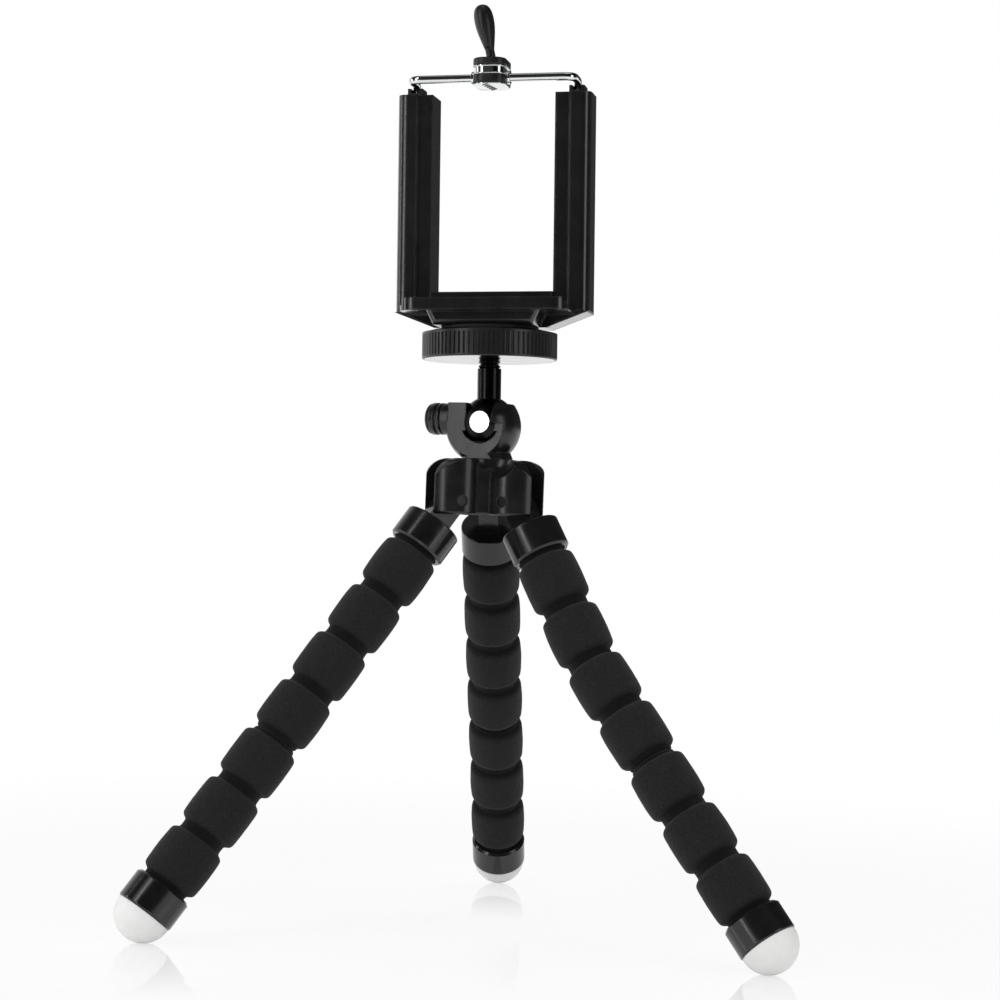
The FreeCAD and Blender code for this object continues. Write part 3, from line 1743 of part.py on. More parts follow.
def make_grip():
    body = body_named("lever_grip_body")
    half = size.grip_width / 2
    length = size.grip_top - size.grip_bottom
    neck = size.lever_width / 2 + size.grip_wall
    shape = new_sketch(body, "lever_grip_outline", "XZ_Plane")
    outline(
        shape,
        [
            (-neck, 0),
            (neck, 0),
            (half, length - half, half),
            (0, length, half),
            (-half, length - half),
        ],
    )
    pad(body, shape, size.grip_depth, "lever_grip_blade", symmetric=True)
    soften(
        body,
        "lever_grip_round",
        size.grip_round,
        lambda e: e.BoundBox.YLength < 1e-6 and e.BoundBox.ZMax > 1e-6,
    )
    rise = size.upper_pad_top - size.plate_top
    tilt = Placement(
        Vector(0, 0, size.upper_pad_top.value), Rotation(Vector(0, 1, 0), size.lever_lean.value)
    )
    body.Placement = tilt.multiply(
        Placement(Vector(0, 0, (size.grip_bottom - size.upper_pad_top).value), Rotation())
    )
    return minus("lever_grip_cut", body, make_lever("lever_grip_core"))


node("catch_plate", make_catch_plate(), catch_place)
node("catch_pad_upper", make_upper_pad(), catch_place)
node("catch_pad_lower", make_lower_pad(), catch_place)
node("catch_lever", make_lever("catch_lever"), catch_place)
node("lever_grip", make_grip(), catch_place)

# Everything moves so that the origin lies on the floor under the middle of the outline.
doc.recompute()
whole = FreeCAD.BoundBox()
for name, thing in nodes.items():
    whole.add(thing.Shape.BoundBox)
shift = Vector(
    -(whole.XMin + whole.XMax) / 2, -(whole.YMin + whole.YMax) / 2, -whole.ZMin
)
for thing in nodes.values():
    moved = thing.Placement
    moved.Base = moved.Base + shift
    thing.Placement = moved
doc.recompute()

for thing in doc.Objects:
    if "Invalid" in thing.State or "Error" in thing.State:
        raise RuntimeError(thing.Name + " failed")
os.makedirs("parts", exist_ok=True)
for name, thing in nodes.items():
    shape = thing.Shape
    if shape.isNull() or not shape.isValid() or shape.Volume <= 0:
        raise RuntimeError(name + " has no valid shape")
for name, thing in nodes.items():
    thing.Shape.exportStep(os.path.join("parts", name + ".step"))


def say(name, *numbers):
    print(name, " ".join("%.4f" % n for n in numbers))


say("shift", *shift)
for name, (point, axis) in hinge_points.items():
    say(name, *(point + shift), *axis)
head_middle = Vector(0, 0, ball_height.value) + shift
stem_axis = lean.multVec(Vector(0, 0, 1))
say("head_middle", *head_middle, *cup_turned.multVec(Vector(1, 0, 0)))
say("stem_axis", *head_middle, *stem_axis)
say("lock_axis", *(lock_frame(0).Base + shift), *cup_turned.multVec(Vector(-1, 0, 0)))
say("holder_origin", *(holder_place.Base + shift))
say("holder_x", *holder_place.Rotation.multVec(Vector(1, 0, 0)))
say("holder_y", *holder_place.Rotation.multVec(Vector(0, 1, 0)))
say("rod_axis", *(catch_place.Base + shift), *catch_place.Rotation.multVec(Vector(1, 0, 0)))
say("outline", whole.XLength, whole.YLength, whole.ZLength)
print(len(nodes), "nodes", sum(len(t.Shape.Solids) for t in nodes.values()), "solids")
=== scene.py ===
"""Dresses the packed phone tripod. The foam sleeves, wire cores, coil springs, catch and lock knob are
modelled here, and every other piece gets its finish. Everything is in metres, in the frame of the
packed model."""

import json
import math

import bpy
from bpy.props import FloatProperty, FloatVectorProperty, IntProperty, PointerProperty
from mathutils import Matrix, Vector


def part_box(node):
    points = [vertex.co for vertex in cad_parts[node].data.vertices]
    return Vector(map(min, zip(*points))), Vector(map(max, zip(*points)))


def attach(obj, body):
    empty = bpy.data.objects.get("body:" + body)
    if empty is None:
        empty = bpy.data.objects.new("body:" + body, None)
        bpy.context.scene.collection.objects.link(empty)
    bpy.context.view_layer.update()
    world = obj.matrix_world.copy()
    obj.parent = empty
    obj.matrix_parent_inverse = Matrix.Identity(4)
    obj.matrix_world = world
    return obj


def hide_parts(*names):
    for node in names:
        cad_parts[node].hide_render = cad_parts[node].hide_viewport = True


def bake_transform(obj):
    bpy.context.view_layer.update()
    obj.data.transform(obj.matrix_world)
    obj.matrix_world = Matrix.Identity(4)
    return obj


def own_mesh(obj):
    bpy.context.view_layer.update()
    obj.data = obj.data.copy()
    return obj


bl_info = {
    "name": "Phone tripod",
    "version": (1, 0, 0),
    "blender": (4, 5, 0),
    "location": "View3D > Sidebar > Tripod",
    "description": "Models foam, wires, springs, catch and knob of a phone tripod and finishes every piece",
    "category": "Object",
}

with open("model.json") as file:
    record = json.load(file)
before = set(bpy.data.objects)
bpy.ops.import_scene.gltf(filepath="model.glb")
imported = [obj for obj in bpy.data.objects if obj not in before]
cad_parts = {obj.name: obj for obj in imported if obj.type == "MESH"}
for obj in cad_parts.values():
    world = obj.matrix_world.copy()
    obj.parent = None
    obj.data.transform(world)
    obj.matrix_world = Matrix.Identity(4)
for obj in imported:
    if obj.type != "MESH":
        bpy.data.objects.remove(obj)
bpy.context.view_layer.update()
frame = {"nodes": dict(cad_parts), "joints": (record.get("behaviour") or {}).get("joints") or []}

MM = 0.001
TINY = 0.001 * MM
LEGS = ("left", "right", "rear")
SPRINGS = ("left", "right")
NODES = frame["nodes"]
JOINTS = {joint["name"]: joint for joint in frame["joints"]}
STEM_AXIS = Vector(JOINTS["disc_turn"]["axis"]).normalized()
UP = Vector((0.0, 0.0, 1.0))
WHITE = (1.0, 1.0, 1.0, 1.0)
# Black for the painted shade in the foam's grooves
GROOVE_SHADE_BLACK = (0.0, 0.0, 0.0, 1.0)


# The user's sizes and colours


def length(name, description, default):
    """A size in metres."""
    return FloatProperty(
        name=name, description=description, default=default, min=0.0, unit="LENGTH", precision=4
    )


def angle(name, description, degrees):
    """An angle, given in degrees."""
    return FloatProperty(
        name=name, description=description, default=math.radians(degrees), subtype="ANGLE"
    )


def share(name, description, default):
    """A number from nothing to all."""
    return FloatProperty(
        name=name, description=description, default=default, min=0.0, max=1.0, subtype="FACTOR"
    )


def brightness(name, description, default):
    """A lamp's brightness, where 1 is as bright as a white wall."""
    return FloatProperty(name=name, description=description, default=default, min=0.0)


def colour(name, description, *default):
    """A colour; a single number is a grey."""
    rgb = default if len(default) == 3 else default * 3
    return FloatVectorProperty(
        name=name, description=description, default=rgb, min=0.0, max=1.0, size=3, subtype="COLOR"
    )


class FoamSettings(bpy.types.PropertyGroup):
    """Sizes of the foam sleeves and of the wire inside them."""

    sides: IntProperty(name="Sides", description="Points round the sleeve", default=64, min=16)
    diameter: length("Diameter", "Across the ribs", 17.0 * MM)
    rib_pitch: length("Rib pitch", "From one groove to the next", 16.7 * MM)
    groove_depth: length("Groove depth", "How far a groove is cut in", 2.0 * MM)
    groove_floor: length("Groove floor", "Width of the flat in a groove", 2.5 * MM)
    corner: length("Rib corner", "Length of a rib's rounded corner along the leg", 2.0 * MM)
    crown: length("Rib crown", "How much fuller a rib is in its middle", 0.20 * MM)
    swell: length("Unevenness", "How far the skin wanders", 0.22 * MM)
    swell_size: length("Unevenness size", "How long its waves are", 6.0 * MM)
    spigot_diameter: length("Spigot diameter", "The neck that goes into a cap", 13.8 * MM)
    spigot_length: length("Spigot length", "Length of that neck", 4.0 * MM)
    bore: length("Bore", "The hole for the wire", 3.3 * MM)
    wire: length("Wire", "Diameter of the wire core", 3.0 * MM)
    wire_top: length("Top of the wire", "From the fold joint to the wire", 10.05 * MM)
    wire_bottom: length("Bottom of the wire", "From the fold joint to the wire's other end", 139.55 * MM)
    cap_end: length("Top of the foam", "From the fold joint to the foam", 17.5 * MM)
    bend_reach: length("Bend reach", "Foam on each side of a joint that bends with it", 9.0 * MM)


class SpringSettings(bpy.types.PropertyGroup):
    """Sizes of the return springs in the rails."""

    outer: length("Outer diameter", "Across the coils", 5.0 * MM)
    wire: length("Wire", "Diameter of the spring wire", 0.6 * MM)
    turns: IntProperty(name="Turns", description="Coils in a spring", default=22, min=3)
    pressed: share("Pressed length", "Length left when the phone bar is fully up", 0.42)


class CatchSettings(bpy.types.PropertyGroup):
    """Sizes of the catch on the phone bar, of its lever and of the ball's lock knob."""

    width: length("Catch width", "Along the bar", 9.6 * MM)
    depth: length("Catch depth", "From front to back", 12.0 * MM)
    corner: length("Catch corner", "Radius of its upright corners at the back", 2.1 * MM)
    nose: length("Catch nose", "Radius of its upright corners at the front", 3.6 * MM)
    rim: length("Plate rim", "Thickness of the plate's upper and lower rim", 0.45 * MM)
    recess: length("Plate recess", "How much narrower the plate is between its rims", 0.5 * MM)
    plate_bottom: length("Plate bottom", "Above the bar's axis", 0.35 * MM)
    plate_top: length("Plate top", "Above the bar's axis", 2.95 * MM)
    pad_top: length("Upper pad top", "Above the bar's axis", 5.1 * MM)
    pad_bottom: length("Lower pad bottom", "Below the bar's axis", 2.5 * MM)
    sole: length("Sole", "Thickness of the bright sheet under the lower pad", 0.25 * MM)
    barrel: length("Barrel", "Radius of the plate's roll round the bar", 1.95 * MM)
    bar: length("Bar room", "Radius of the hole for the bar", 1.3 * MM)
    tread_length: length("Tread length", "Of one slanting rib under the sole", 2.8 * MM)
    tread_width: length("Tread width", "Of one slanting rib under the sole", 0.95 * MM)
    tread_pitch: length("Tread pitch", "From one rib to the next", 2.0 * MM)
    lever: length("Lever", "From the upper pad to the lever's tip", 16.3 * MM)
    grip: length("Grip", "Widest radius of the lever's grip", 3.3 * MM)
    lean: angle("Lever lean", "To the left of the stem", -11.5)
    knob: length("Knob", "Radius of the lock knob", 4.65 * MM)
    knob_start: length("Knob start", "From the ball's middle to the knob", 13.9 * MM)


class FinishSettings(bpy.types.PropertyGroup):
    """Colours of the materials."""

    gloss_black: colour("Glossy black", "Caps, hub and ball head", 0.0075, 0.0075, 0.0080)
    satin_black: colour("Satin black", "Disc and phone holder", 0.0090, 0.0090, 0.0095)
    # Lighter black painted along the plastics' edges as a highlight
    edge_highlight_black: colour("Edge black", "Where black plastic is rubbed", 0.035)
    foam_black: colour("Foam black", "Foam between its cells", 0.0075)
    foam_grey: colour("Foam grey", "Walls of the foam's cells", 0.0190)
    rubber_black: colour("Rubber black", "Pads and grips", 0.0085)
    foot_white: colour("Foot white", "Rubber feet", 0.90, 0.90, 0.895)
    foot_shade: colour("Foot shade", "Darker marks on the feet", 0.86, 0.86, 0.85)
    coated_metal: colour("Coated metal", "Ball and stem", 0.020, 0.020, 0.021)
    chrome: colour("Chrome", "Phone bar and catch", 0.80, 0.81, 0.82)
    steel: colour("Steel", "Wire and springs", 0.50, 0.50, 0.51)
    blackened: colour("Blackened steel", "Hinge pins, screws and nut", 0.044, 0.044, 0.045)
    brass: colour("Brass", "Thread insert", 0.72, 0.52, 0.25)


class StudioSettings(bpy.types.PropertyGroup):
    """Camera, lamps and floor."""

    distance: length("Camera distance", "From the hub's axis", 0.70191)
    height: length("Camera height", "Above the floor", 0.11435)
    turn: angle("Camera turn", "Round the hub from the front", 5.037)
    pitch: angle("Camera pitch", "Upwards tilt", 0.730)
    yaw: angle("Camera yaw", "Aim left of the hub", -0.330)
    roll: angle("Camera roll", "Turn about the line of sight", 2.126)
    focal: FloatProperty(
        name="Focal length", description="In millimetres, on a 36 mm sensor", default=88.104, min=1.0
    )
    room: share("Room light", "Brightness of the even light", 0.62)
    front: share("Dark side", "Brightness of the room behind the camera", 0.03)
    ceiling: share("Ceiling", "How much of the mirrored room stays bright overhead", 0.30)
    card: share("Dark card", "How much of the mirrored room on the right stays bright", 0.05)
    softbox: brightness("Softbox", "Tall lamp at the front left", 1.1)
    strip_front: brightness("Front strip", "Narrow lamp beside that softbox", 5.5)
    softbox_right: brightness("Right softbox", "Tall lamp at the front right", 1.7)
    strip_left: brightness("Left strip", "Narrow lamp on the left", 6.0)
    top_light: brightness("Top light", "Lamp overhead", 0.5)
    floor: share("Floor", "How white the floor is near the feet", 0.86)
    floor_radius: length("Floor radius", "Of the round floor", 0.75)
    white_start: length("Near floor", "From the middle to where the floor starts to fade to white", 0.15)
    white_end: length("Far floor", "From the middle to where the floor is pure white", 0.45)
    mirror: share("Floor mirror", "How strongly the floor mirrors the feet", 0.26)
    mirror_start: length("Near mirror", "From a foot's middle to where its mirror starts to fade", 12.0 * MM)
    mirror_end: length("Far mirror", "From a foot's middle to where its mirror is gone", 85.0 * MM)


GROUPS = {
    "tripod_foam": FoamSettings,
    "tripod_springs": SpringSettings,
    "tripod_catch": CatchSettings,
    "tripod_finish": FinishSettings,
    "tripod_studio": StudioSettings,
}


# Shader nodes


def plug(tree, socket, value):
    """Links another node's output to a socket, or sets the socket's own value."""
    if isinstance(value, bpy.types.NodeSocket):
        tree.links.new(value, socket)
    else:
        socket.default_value = value


def add_node(tree, kind, sockets=None, **settings):
    """A new node with its settings. Each socket gets a value or another node's output."""
    node = tree.nodes.new(kind)
    for name, value in settings.items():
        setattr(node, name, value)
    for name, value in (sockets or {}).items():
        plug(tree, node.inputs[name], value)
    return node


def maths(tree, operation, first, second=0.0, clamp=False):
    """The output of a Math node."""
    sockets = {0: first, 1: second}
    return add_node(tree, "ShaderNodeMath", sockets, operation=operation, use_clamp=clamp).outputs[0]


def vector_maths(tree, operation, first, second=(0.0, 0.0, 0.0)):
    """The output of a Vector Math node, a number where the operation gives one."""
    node = add_node(tree, "ShaderNodeVectorMath", {0: first, 1: second}, operation=operation)
    return node.outputs["Value" if operation in ("DOT_PRODUCT", "DISTANCE", "LENGTH") else "Vector"]


def spread(tree, value, low, high, start=0.0, end=1.0, smooth=False):
    """A value between start and end brought between low and high."""
    node = add_node(
        tree,
        "ShaderNodeMapRange",
        {"Value": value, "From Min": start, "From Max": end, "To Min": low, "To Max": high},
        interpolation_type="SMOOTHSTEP" if smooth else "LINEAR",
    )
    return node.outputs["Result"]


def blend_colours(tree, factor, first, second):
    """Two colours mixed by a factor."""
    return add_node(tree, "ShaderNodeMix", {0: factor, 6: first, 7: second}, data_type="RGBA").outputs[2]


def coordinates(tree, kind="Object"):
    """The shaded point's Object coordinates, or another kind of them."""
    return add_node(tree, "ShaderNodeTexCoord").outputs[kind]


def noise(tree, size, detail, roughness):
    """A noise on Object coordinates whose marks are about size metres long."""
    sockets = {
        "Vector": coordinates(tree),
        "Scale": maths(tree, "DIVIDE", 1.0, size),
        "Detail": detail,
        "Roughness": roughness,
    }
    return add_node(tree, "ShaderNodeTexNoise", sockets).outputs["Fac"]


def stretched(tree, value):
    """A noise whose middle values fill the whole range."""
    return spread(tree, value, 0.0, 1.0, start=0.35, end=0.65)


def bumped(tree, height, depth, normal=None):
    """A normal with a relief of this depth, over another normal where one is given."""
    sockets = {"Strength": 1.0, "Distance": depth, "Height": height}
    if normal is not None:
        sockets["Normal"] = normal
    return add_node(tree, "ShaderNodeBump", sockets).outputs["Normal"]


def eased_edges(tree, radius):
    """A normal that rounds sharp edges off, and a mask of those edges."""
    rounded = add_node(tree, "ShaderNodeBevel", {"Radius": radius}, samples=4).outputs["Normal"]
    surface = add_node(tree, "ShaderNodeNewGeometry").outputs["Normal"]
    likeness = vector_maths(tree, "DOT_PRODUCT", rounded, surface)
    return rounded, spread(tree, likeness, 1.0, 0.0, start=0.80, end=0.99)


def start_group(name, inputs, outputs):
    """An empty node group with number sockets and a Normal output, and what its input node gives."""
    group = bpy.data.node_groups.new(name, "ShaderNodeTree")
    for socket, default in inputs.items():
        made = group.interface.new_socket(socket, in_out="INPUT", socket_type="NodeSocketFloat")
        made.default_value = default
    for socket in outputs:
        group.interface.new_socket(socket, in_out="OUTPUT", socket_type="NodeSocketFloat")
    group.interface.new_socket("Normal", in_out="OUTPUT", socket_type="NodeSocketVector")
    return group, group.nodes.new("NodeGroupInput").outputs


def moulded_group():
    """Moulded surface: fine grain, slow marks and eased edges."""
    group, sizes = start_group(
        "Moulded surface",
        {"Grain size": 0.3 * MM, "Grain depth": 0.01 * MM, "Mark size": 6.0 * MM, "Edge radius": 0.2 * MM},
        ("Grain", "Marks", "Edges"),
    )
    grain = noise(group, sizes["Grain size"], 3.0, 0.6)
    marks = noise(group, sizes["Mark size"], 4.0, 0.6)
    rounded, edges = eased_edges(group, sizes["Edge radius"])
    # Patches for the edge mask; the plastics paint a highlight along their edges with it
    patchy = spread(group, marks, 0.2, 1.0, start=0.4, end=0.6)
    results = {
        "Grain": grain,
        "Marks": stretched(group, marks),
        "Edges": maths(group, "MULTIPLY", edges, patchy, clamp=True),
        "Normal": bumped(group, grain, sizes["Grain depth"], rounded),
    }
    add_node(group, "NodeGroupOutput", results)
    return group


def foam_group():
    """Foam skin: small open cells under a fine nap."""
    group, sizes = start_group(
        "Foam skin",
        {"Cell size": 0.4 * MM, "Cell depth": 0.1 * MM, "Cloud size": 4.0 * MM},
        ("Cells", "Clouds"),
    )
    place = {"Vector": coordinates(group), "Scale": maths(group, "DIVIDE", 1.0, sizes["Cell size"])}
    cells = add_node(group, "ShaderNodeTexVoronoi", place, feature="SMOOTH_F1").outputs["Distance"]
    nap = noise(group, maths(group, "MULTIPLY", sizes["Cell size"], 0.5), 3.0, 0.7)
    clouds = noise(group, sizes["Cloud size"], 3.0, 0.6)
    height = maths(group, "ADD", cells, maths(group, "MULTIPLY", nap, 0.6))
    results = {
        "Cells": spread(group, height, 0.0, 1.0, start=0.3, end=1.0),
        "Clouds": stretched(group, clouds),
        "Normal": bumped(group, height, sizes["Cell depth"]),
    }
    add_node(group, "NodeGroupOutput", results)
    return group


def metal_group():
    """Drawn metal: hairlines, slow marks and eased edges."""
    group, sizes = start_group(
        "Drawn metal",
        {"Line size": 0.2 * MM, "Line depth": 0.002 * MM, "Mark size": 5.0 * MM, "Edge radius": 0.1 * MM},
        ("Lines", "Marks"),
    )
    lines = noise(group, sizes["Line size"], 2.0, 0.5)
    marks = noise(group, sizes["Mark size"], 4.0, 0.6)
    rounded, _ = eased_edges(group, sizes["Edge radius"])
    results = {
        "Lines": lines,
        "Marks": stretched(group, marks),
        "Normal": bumped(group, lines, sizes["Line depth"], rounded),
    }
    add_node(group, "NodeGroupOutput", results)
    return group


EFFECTS = {"Moulded surface": moulded_group, "Foam skin": foam_group, "Drawn metal": metal_group}


def effect(tree, name, **values):
    """One of the shared effects, placed in a material with its own values."""
    group = bpy.data.node_groups.get(name) or EFFECTS[name]()
    node = add_node(tree, "ShaderNodeGroup", node_tree=group)
    for socket, value in values.items():
        node.inputs[socket.replace("_", " ").capitalize()].default_value = value
    return node.outputs


# Finishes


# Each plastic's colour, roughness, grain size, grain depth, edge radius and coat of lacquer
PLASTICS = {
    "leg_plastic": ("gloss_black", 0.18, 0.40 * MM, 0.0090 * MM, 0.15 * MM, 0.0),
    "hub_plastic": ("gloss_black", 0.24, 0.30 * MM, 0.0025 * MM, 0.40 * MM, 0.0),
    "seat_plastic": ("satin_black", 0.45, 0.30 * MM, 0.0040 * MM, 0.10 * MM, 0.0),
    "disc_plastic": ("satin_black", 0.14, 0.25 * MM, 0.0025 * MM, 0.10 * MM, 0.0),
    "holder_plastic": ("satin_black", 0.17, 0.25 * MM, 0.0015 * MM, 0.90 * MM, 0.5),
    "plug_plastic": ("satin_black", 0.35, 0.25 * MM, 0.0030 * MM, 0.15 * MM, 0.0),
}

# Each metal's colour and roughness
METALS = {
    "wire_steel": ("steel", 0.35),
    "pin_steel": ("blackened", 0.34),
    "spring_steel": ("steel", 0.22),
    "ball_metal": ("coated_metal", 0.30),
    "stem_metal": ("coated_metal", 0.25),
    "polished_steel": ("chrome", 0.10),
    "chrome_wire": ("chrome", 0.06),
    "chrome_plate": ("chrome", 0.10),
    "insert_brass": ("brass", 0.30),
}


def rgba(tint):
    """A colour setting as a socket takes it."""
    return (*tint, 1.0)


def new_material(slot):
    """A slot's new material, with its tree and its Principled BSDF."""
    material = bpy.data.materials.new("finish_" + slot)
    material.use_nodes = True
    tree = material.node_tree
    return material, tree, tree.nodes["Principled BSDF"]


def wire_up(tree, shader, **sockets):
    """Values and links for the Principled BSDF's sockets."""
    for name, value in sockets.items():
        plug(tree, shader.inputs[name.replace("_", " ")], value)


def plastic(slot, tint, edge_highlight_tint, roughness, grain_size, grain_depth, edge, coat):
    """Moulded plastic, bare or lacquered, with random lighter marks and a painted highlight along its edges.
    """
    material, tree, shader = new_material(slot)
    skin = effect(tree, "Moulded surface", grain_size=grain_size, grain_depth=grain_depth, edge_radius=edge)
    marks = maths(tree, "MULTIPLY", skin["Marks"], 0.12)
    # Painted highlight: the edges turn lighter in patches, on top of the random marks
    marks_and_edge_highlight = maths(tree, "ADD", marks, maths(tree, "MULTIPLY", skin["Edges"], 0.5), clamp=True)
    wire_up(
        tree,
        shader,
        Base_Color=blend_colours(tree, marks_and_edge_highlight, rgba(tint), rgba(edge_highlight_tint)),
        Roughness=spread(tree, skin["Marks"], roughness * 0.85, roughness * 1.2),
        Normal=skin["Normal"],
        Coat_Weight=coat,
        Coat_Roughness=roughness * 0.6,
    )
    return material


def matt_rim(material, joint, radius, roughness, coat):
    """Leaves a round piece glossy inside a radius about its joint's axis, and makes it matt outside."""
    fade = 0.2 * MM
    tree = material.node_tree
    shader = tree.nodes["Principled BSDF"]
    arm = vector_maths(tree, "SUBTRACT", coordinates(tree), joint["pos_m"])
    away = vector_maths(tree, "LENGTH", vector_maths(tree, "CROSS_PRODUCT", arm, joint["axis"]))
    inside = spread(tree, away, 1.0, 0.0, start=radius - fade, end=radius)
    glossy = maths(tree, "MULTIPLY", shader.inputs["Roughness"].links[0].from_socket, inside)
    matt = spread(tree, inside, roughness, 0.0)
    wire_up(
        tree,
        shader,
        Roughness=maths(tree, "ADD", glossy, matt),
        Coat_Weight=maths(tree, "MULTIPLY", inside, coat),
    )


def rubber(slot, tint, second, roughness, softness=0.0):
    """Rubber with a dull, faintly mottled skin. Softness lets light sink in."""
    material, tree, shader = new_material(slot)
    skin = effect(
        tree,
        "Moulded surface",
        grain_size=0.5 * MM,
        grain_depth=0.006 * MM,
        mark_size=4.0 * MM,
        edge_radius=0.2 * MM,
    )
    wire_up(
        tree,
        shader,
        Base_Color=blend_colours(tree, skin["Marks"], rgba(tint), rgba(second)),
        Roughness=spread(tree, skin["Grain"], roughness * 0.9, roughness * 1.1),
        Normal=skin["Normal"],
    )
    if softness:
        wire_up(
            tree,
            shader,
            Subsurface_Weight=softness,
            Subsurface_Scale=2.0 * MM,
            Subsurface_Radius=(1.0, 0.95, 0.9),
        )
    return material


def foam(slot, tint, second):
    """Black foam: dull, with cells that catch the light, and painted shade darkening it in its grooves."""
    material, tree, shader = new_material(slot)
    skin = effect(tree, "Foam skin", cell_size=0.42 * MM, cell_depth=0.11 * MM, cloud_size=3.5 * MM)
    cloudy = spread(tree, skin["Clouds"], 0.6, 1.0)
    mottle = maths(tree, "MULTIPLY", skin["Cells"], cloudy, clamp=True)
    fullness = add_node(tree, "ShaderNodeAttribute", attribute_name="fullness").outputs["Fac"]
    # Painted shade: the colour goes towards black where the foam is cut into a groove
    lit = spread(tree, fullness, 0.30, 1.0, end=0.95, smooth=True)
    wire_up(
        tree,
        shader,
        Base_Color=blend_colours(tree, lit, GROOVE_SHADE_BLACK, blend_colours(tree, mottle, rgba(tint), rgba(second))),
        Roughness=spread(tree, skin["Clouds"], 0.88, 0.98),
        Normal=skin["Normal"],
        Sheen_Weight=0.10,
        Sheen_Roughness=0.45,
        Specular_IOR_Level=0.25,
    )
    return material


def metal(slot, tint, roughness):
    """Bare or plated metal."""
    material, tree, shader = new_material(slot)
    skin = effect(tree, "Drawn metal", line_depth=0.0015 * MM, edge_radius=0.1 * MM)
    dulled = maths(tree, "MULTIPLY", skin["Marks"], 0.25)
    wire_up(
        tree,
        shader,
        Base_Color=blend_colours(tree, dulled, rgba(tint), rgba(tint * 0.8)),
        Metallic=1.0,
        Roughness=spread(tree, skin["Marks"], roughness * 0.8, roughness * 1.3),
        Normal=skin["Normal"],
    )
    return material


def make_finish(slot):
    """The material of one of the record's slots."""
    tints = bpy.context.scene.tripod_finish
    if slot in PLASTICS:
        tint, *numbers = PLASTICS[slot]
        made = plastic(slot, getattr(tints, tint), tints.edge_highlight_black, *numbers)
        if slot == "disc_plastic":
            matt_rim(made, JOINTS["disc_turn"], radius=18.9 * MM, roughness=0.34, coat=0.6)
        return made
    if slot in METALS:
        tint, roughness = METALS[slot]
        return metal(slot, getattr(tints, tint), roughness)
    if slot == "foam":
        return foam(slot, tints.foam_black, tints.foam_grey)
    if slot == "foot_rubber":
        return rubber(slot, tints.foot_white, tints.foot_shade, roughness=0.42, softness=0.15)
    roughness = {"pad_rubber": 0.75, "catch_rubber": 0.38}[slot]
    return rubber(slot, tints.rubber_black, tints.satin_black, roughness)


def finish(slot):
    """The slot's material, made once."""
    return bpy.data.materials.get("finish_" + slot) or make_finish(slot)


def dress(*names):
    """Gives CAD nodes the finish of the slot that they carry."""
    for name in names:
        for holder in NODES[name].material_slots:
            holder.material = finish(holder.material.name.split(".")[0])


def give(piece, slot):
    """Gives a new piece the finish of one of the record's slots."""
    piece.data.materials.clear()
    piece.data.materials.append(finish(slot))


# Modelling


def start_piece(name, adder, **shape):
    """Adds a primitive with nothing else selected, applies its place and size, and names it."""
    if bpy.context.object and bpy.context.object.mode != "OBJECT":
        bpy.ops.object.mode_set(mode="OBJECT")
    bpy.ops.object.select_all(action="DESELECT")
    adder(**shape)
    bpy.ops.object.transform_apply(location=True, rotation=True, scale=True)
    piece = bpy.context.object
    piece.name = name
    return piece


def apply_all(piece):
    """Applies the piece's modifiers, in order."""
    bpy.context.view_layer.objects.active = piece
    for modifier in list(piece.modifiers):
        bpy.ops.object.modifier_apply(modifier=modifier.name)


def add_modifier(piece, kind, **settings):
    """Adds a modifier with its settings."""
    modifier = piece.modifiers.new(kind.title(), kind)
    for name, value in settings.items():
        setattr(modifier, name, value)


def pick(piece, wanted, kind="verts"):
    """In edit mode, selects what passes the test, and nothing else."""
    modes = {"verts": "VERT", "edges": "EDGE", "faces": "FACE"}
    bpy.ops.object.mode_set(mode="EDIT")
    bpy.ops.mesh.select_mode(type=modes[kind])
    bpy.ops.mesh.select_all(action="DESELECT")
    bpy.ops.object.mode_set(mode="OBJECT")
    mesh = piece.data
    elements = {"verts": mesh.vertices, "edges": mesh.edges, "faces": mesh.polygons}[kind]
    for element in elements:
        element.select = wanted(element)
    bpy.ops.object.mode_set(mode="EDIT")


def ends(piece, edge):
    """The two ends of an edge."""
    return [piece.data.vertices[number].co for number in edge.vertices]


def edit_all():
    """Goes to edit mode with everything selected."""
    bpy.ops.object.mode_set(mode="EDIT")
    bpy.ops.mesh.select_all(action="SELECT")


def turn_outwards():
    """Turns all faces outwards, and leaves edit mode."""
    bpy.ops.mesh.select_all(action="SELECT")
    bpy.ops.mesh.normals_make_consistent(inside=False)
    bpy.ops.object.mode_set(mode="OBJECT")


def grow_ring(steps):
    """In edit mode, extrudes the selected ring along Z through (height, radius) steps."""
    height, radius = steps[0]
    for next_height, next_radius in steps[1:]:
        bpy.ops.mesh.extrude_region_move(TRANSFORM_OT_translate={"value": (0.0, 0.0, next_height - height)})
        widen = next_radius / radius
        bpy.ops.transform.resize(value=(widen, widen, 1.0), center_override=(0.0, 0.0, next_height))
        height, radius = next_height, next_radius


def turn_piece(name, sides, steps):
    """A closed round piece up +Z through (height, radius) steps."""
    height, radius = steps[0]
    piece = start_piece(
        name,
        bpy.ops.mesh.primitive_circle_add,
        vertices=sides,
        radius=radius,
        fill_type="NGON",
        location=(0.0, 0.0, height),
    )
    edit_all()
    grow_ring(steps)
    turn_outwards()
    return piece


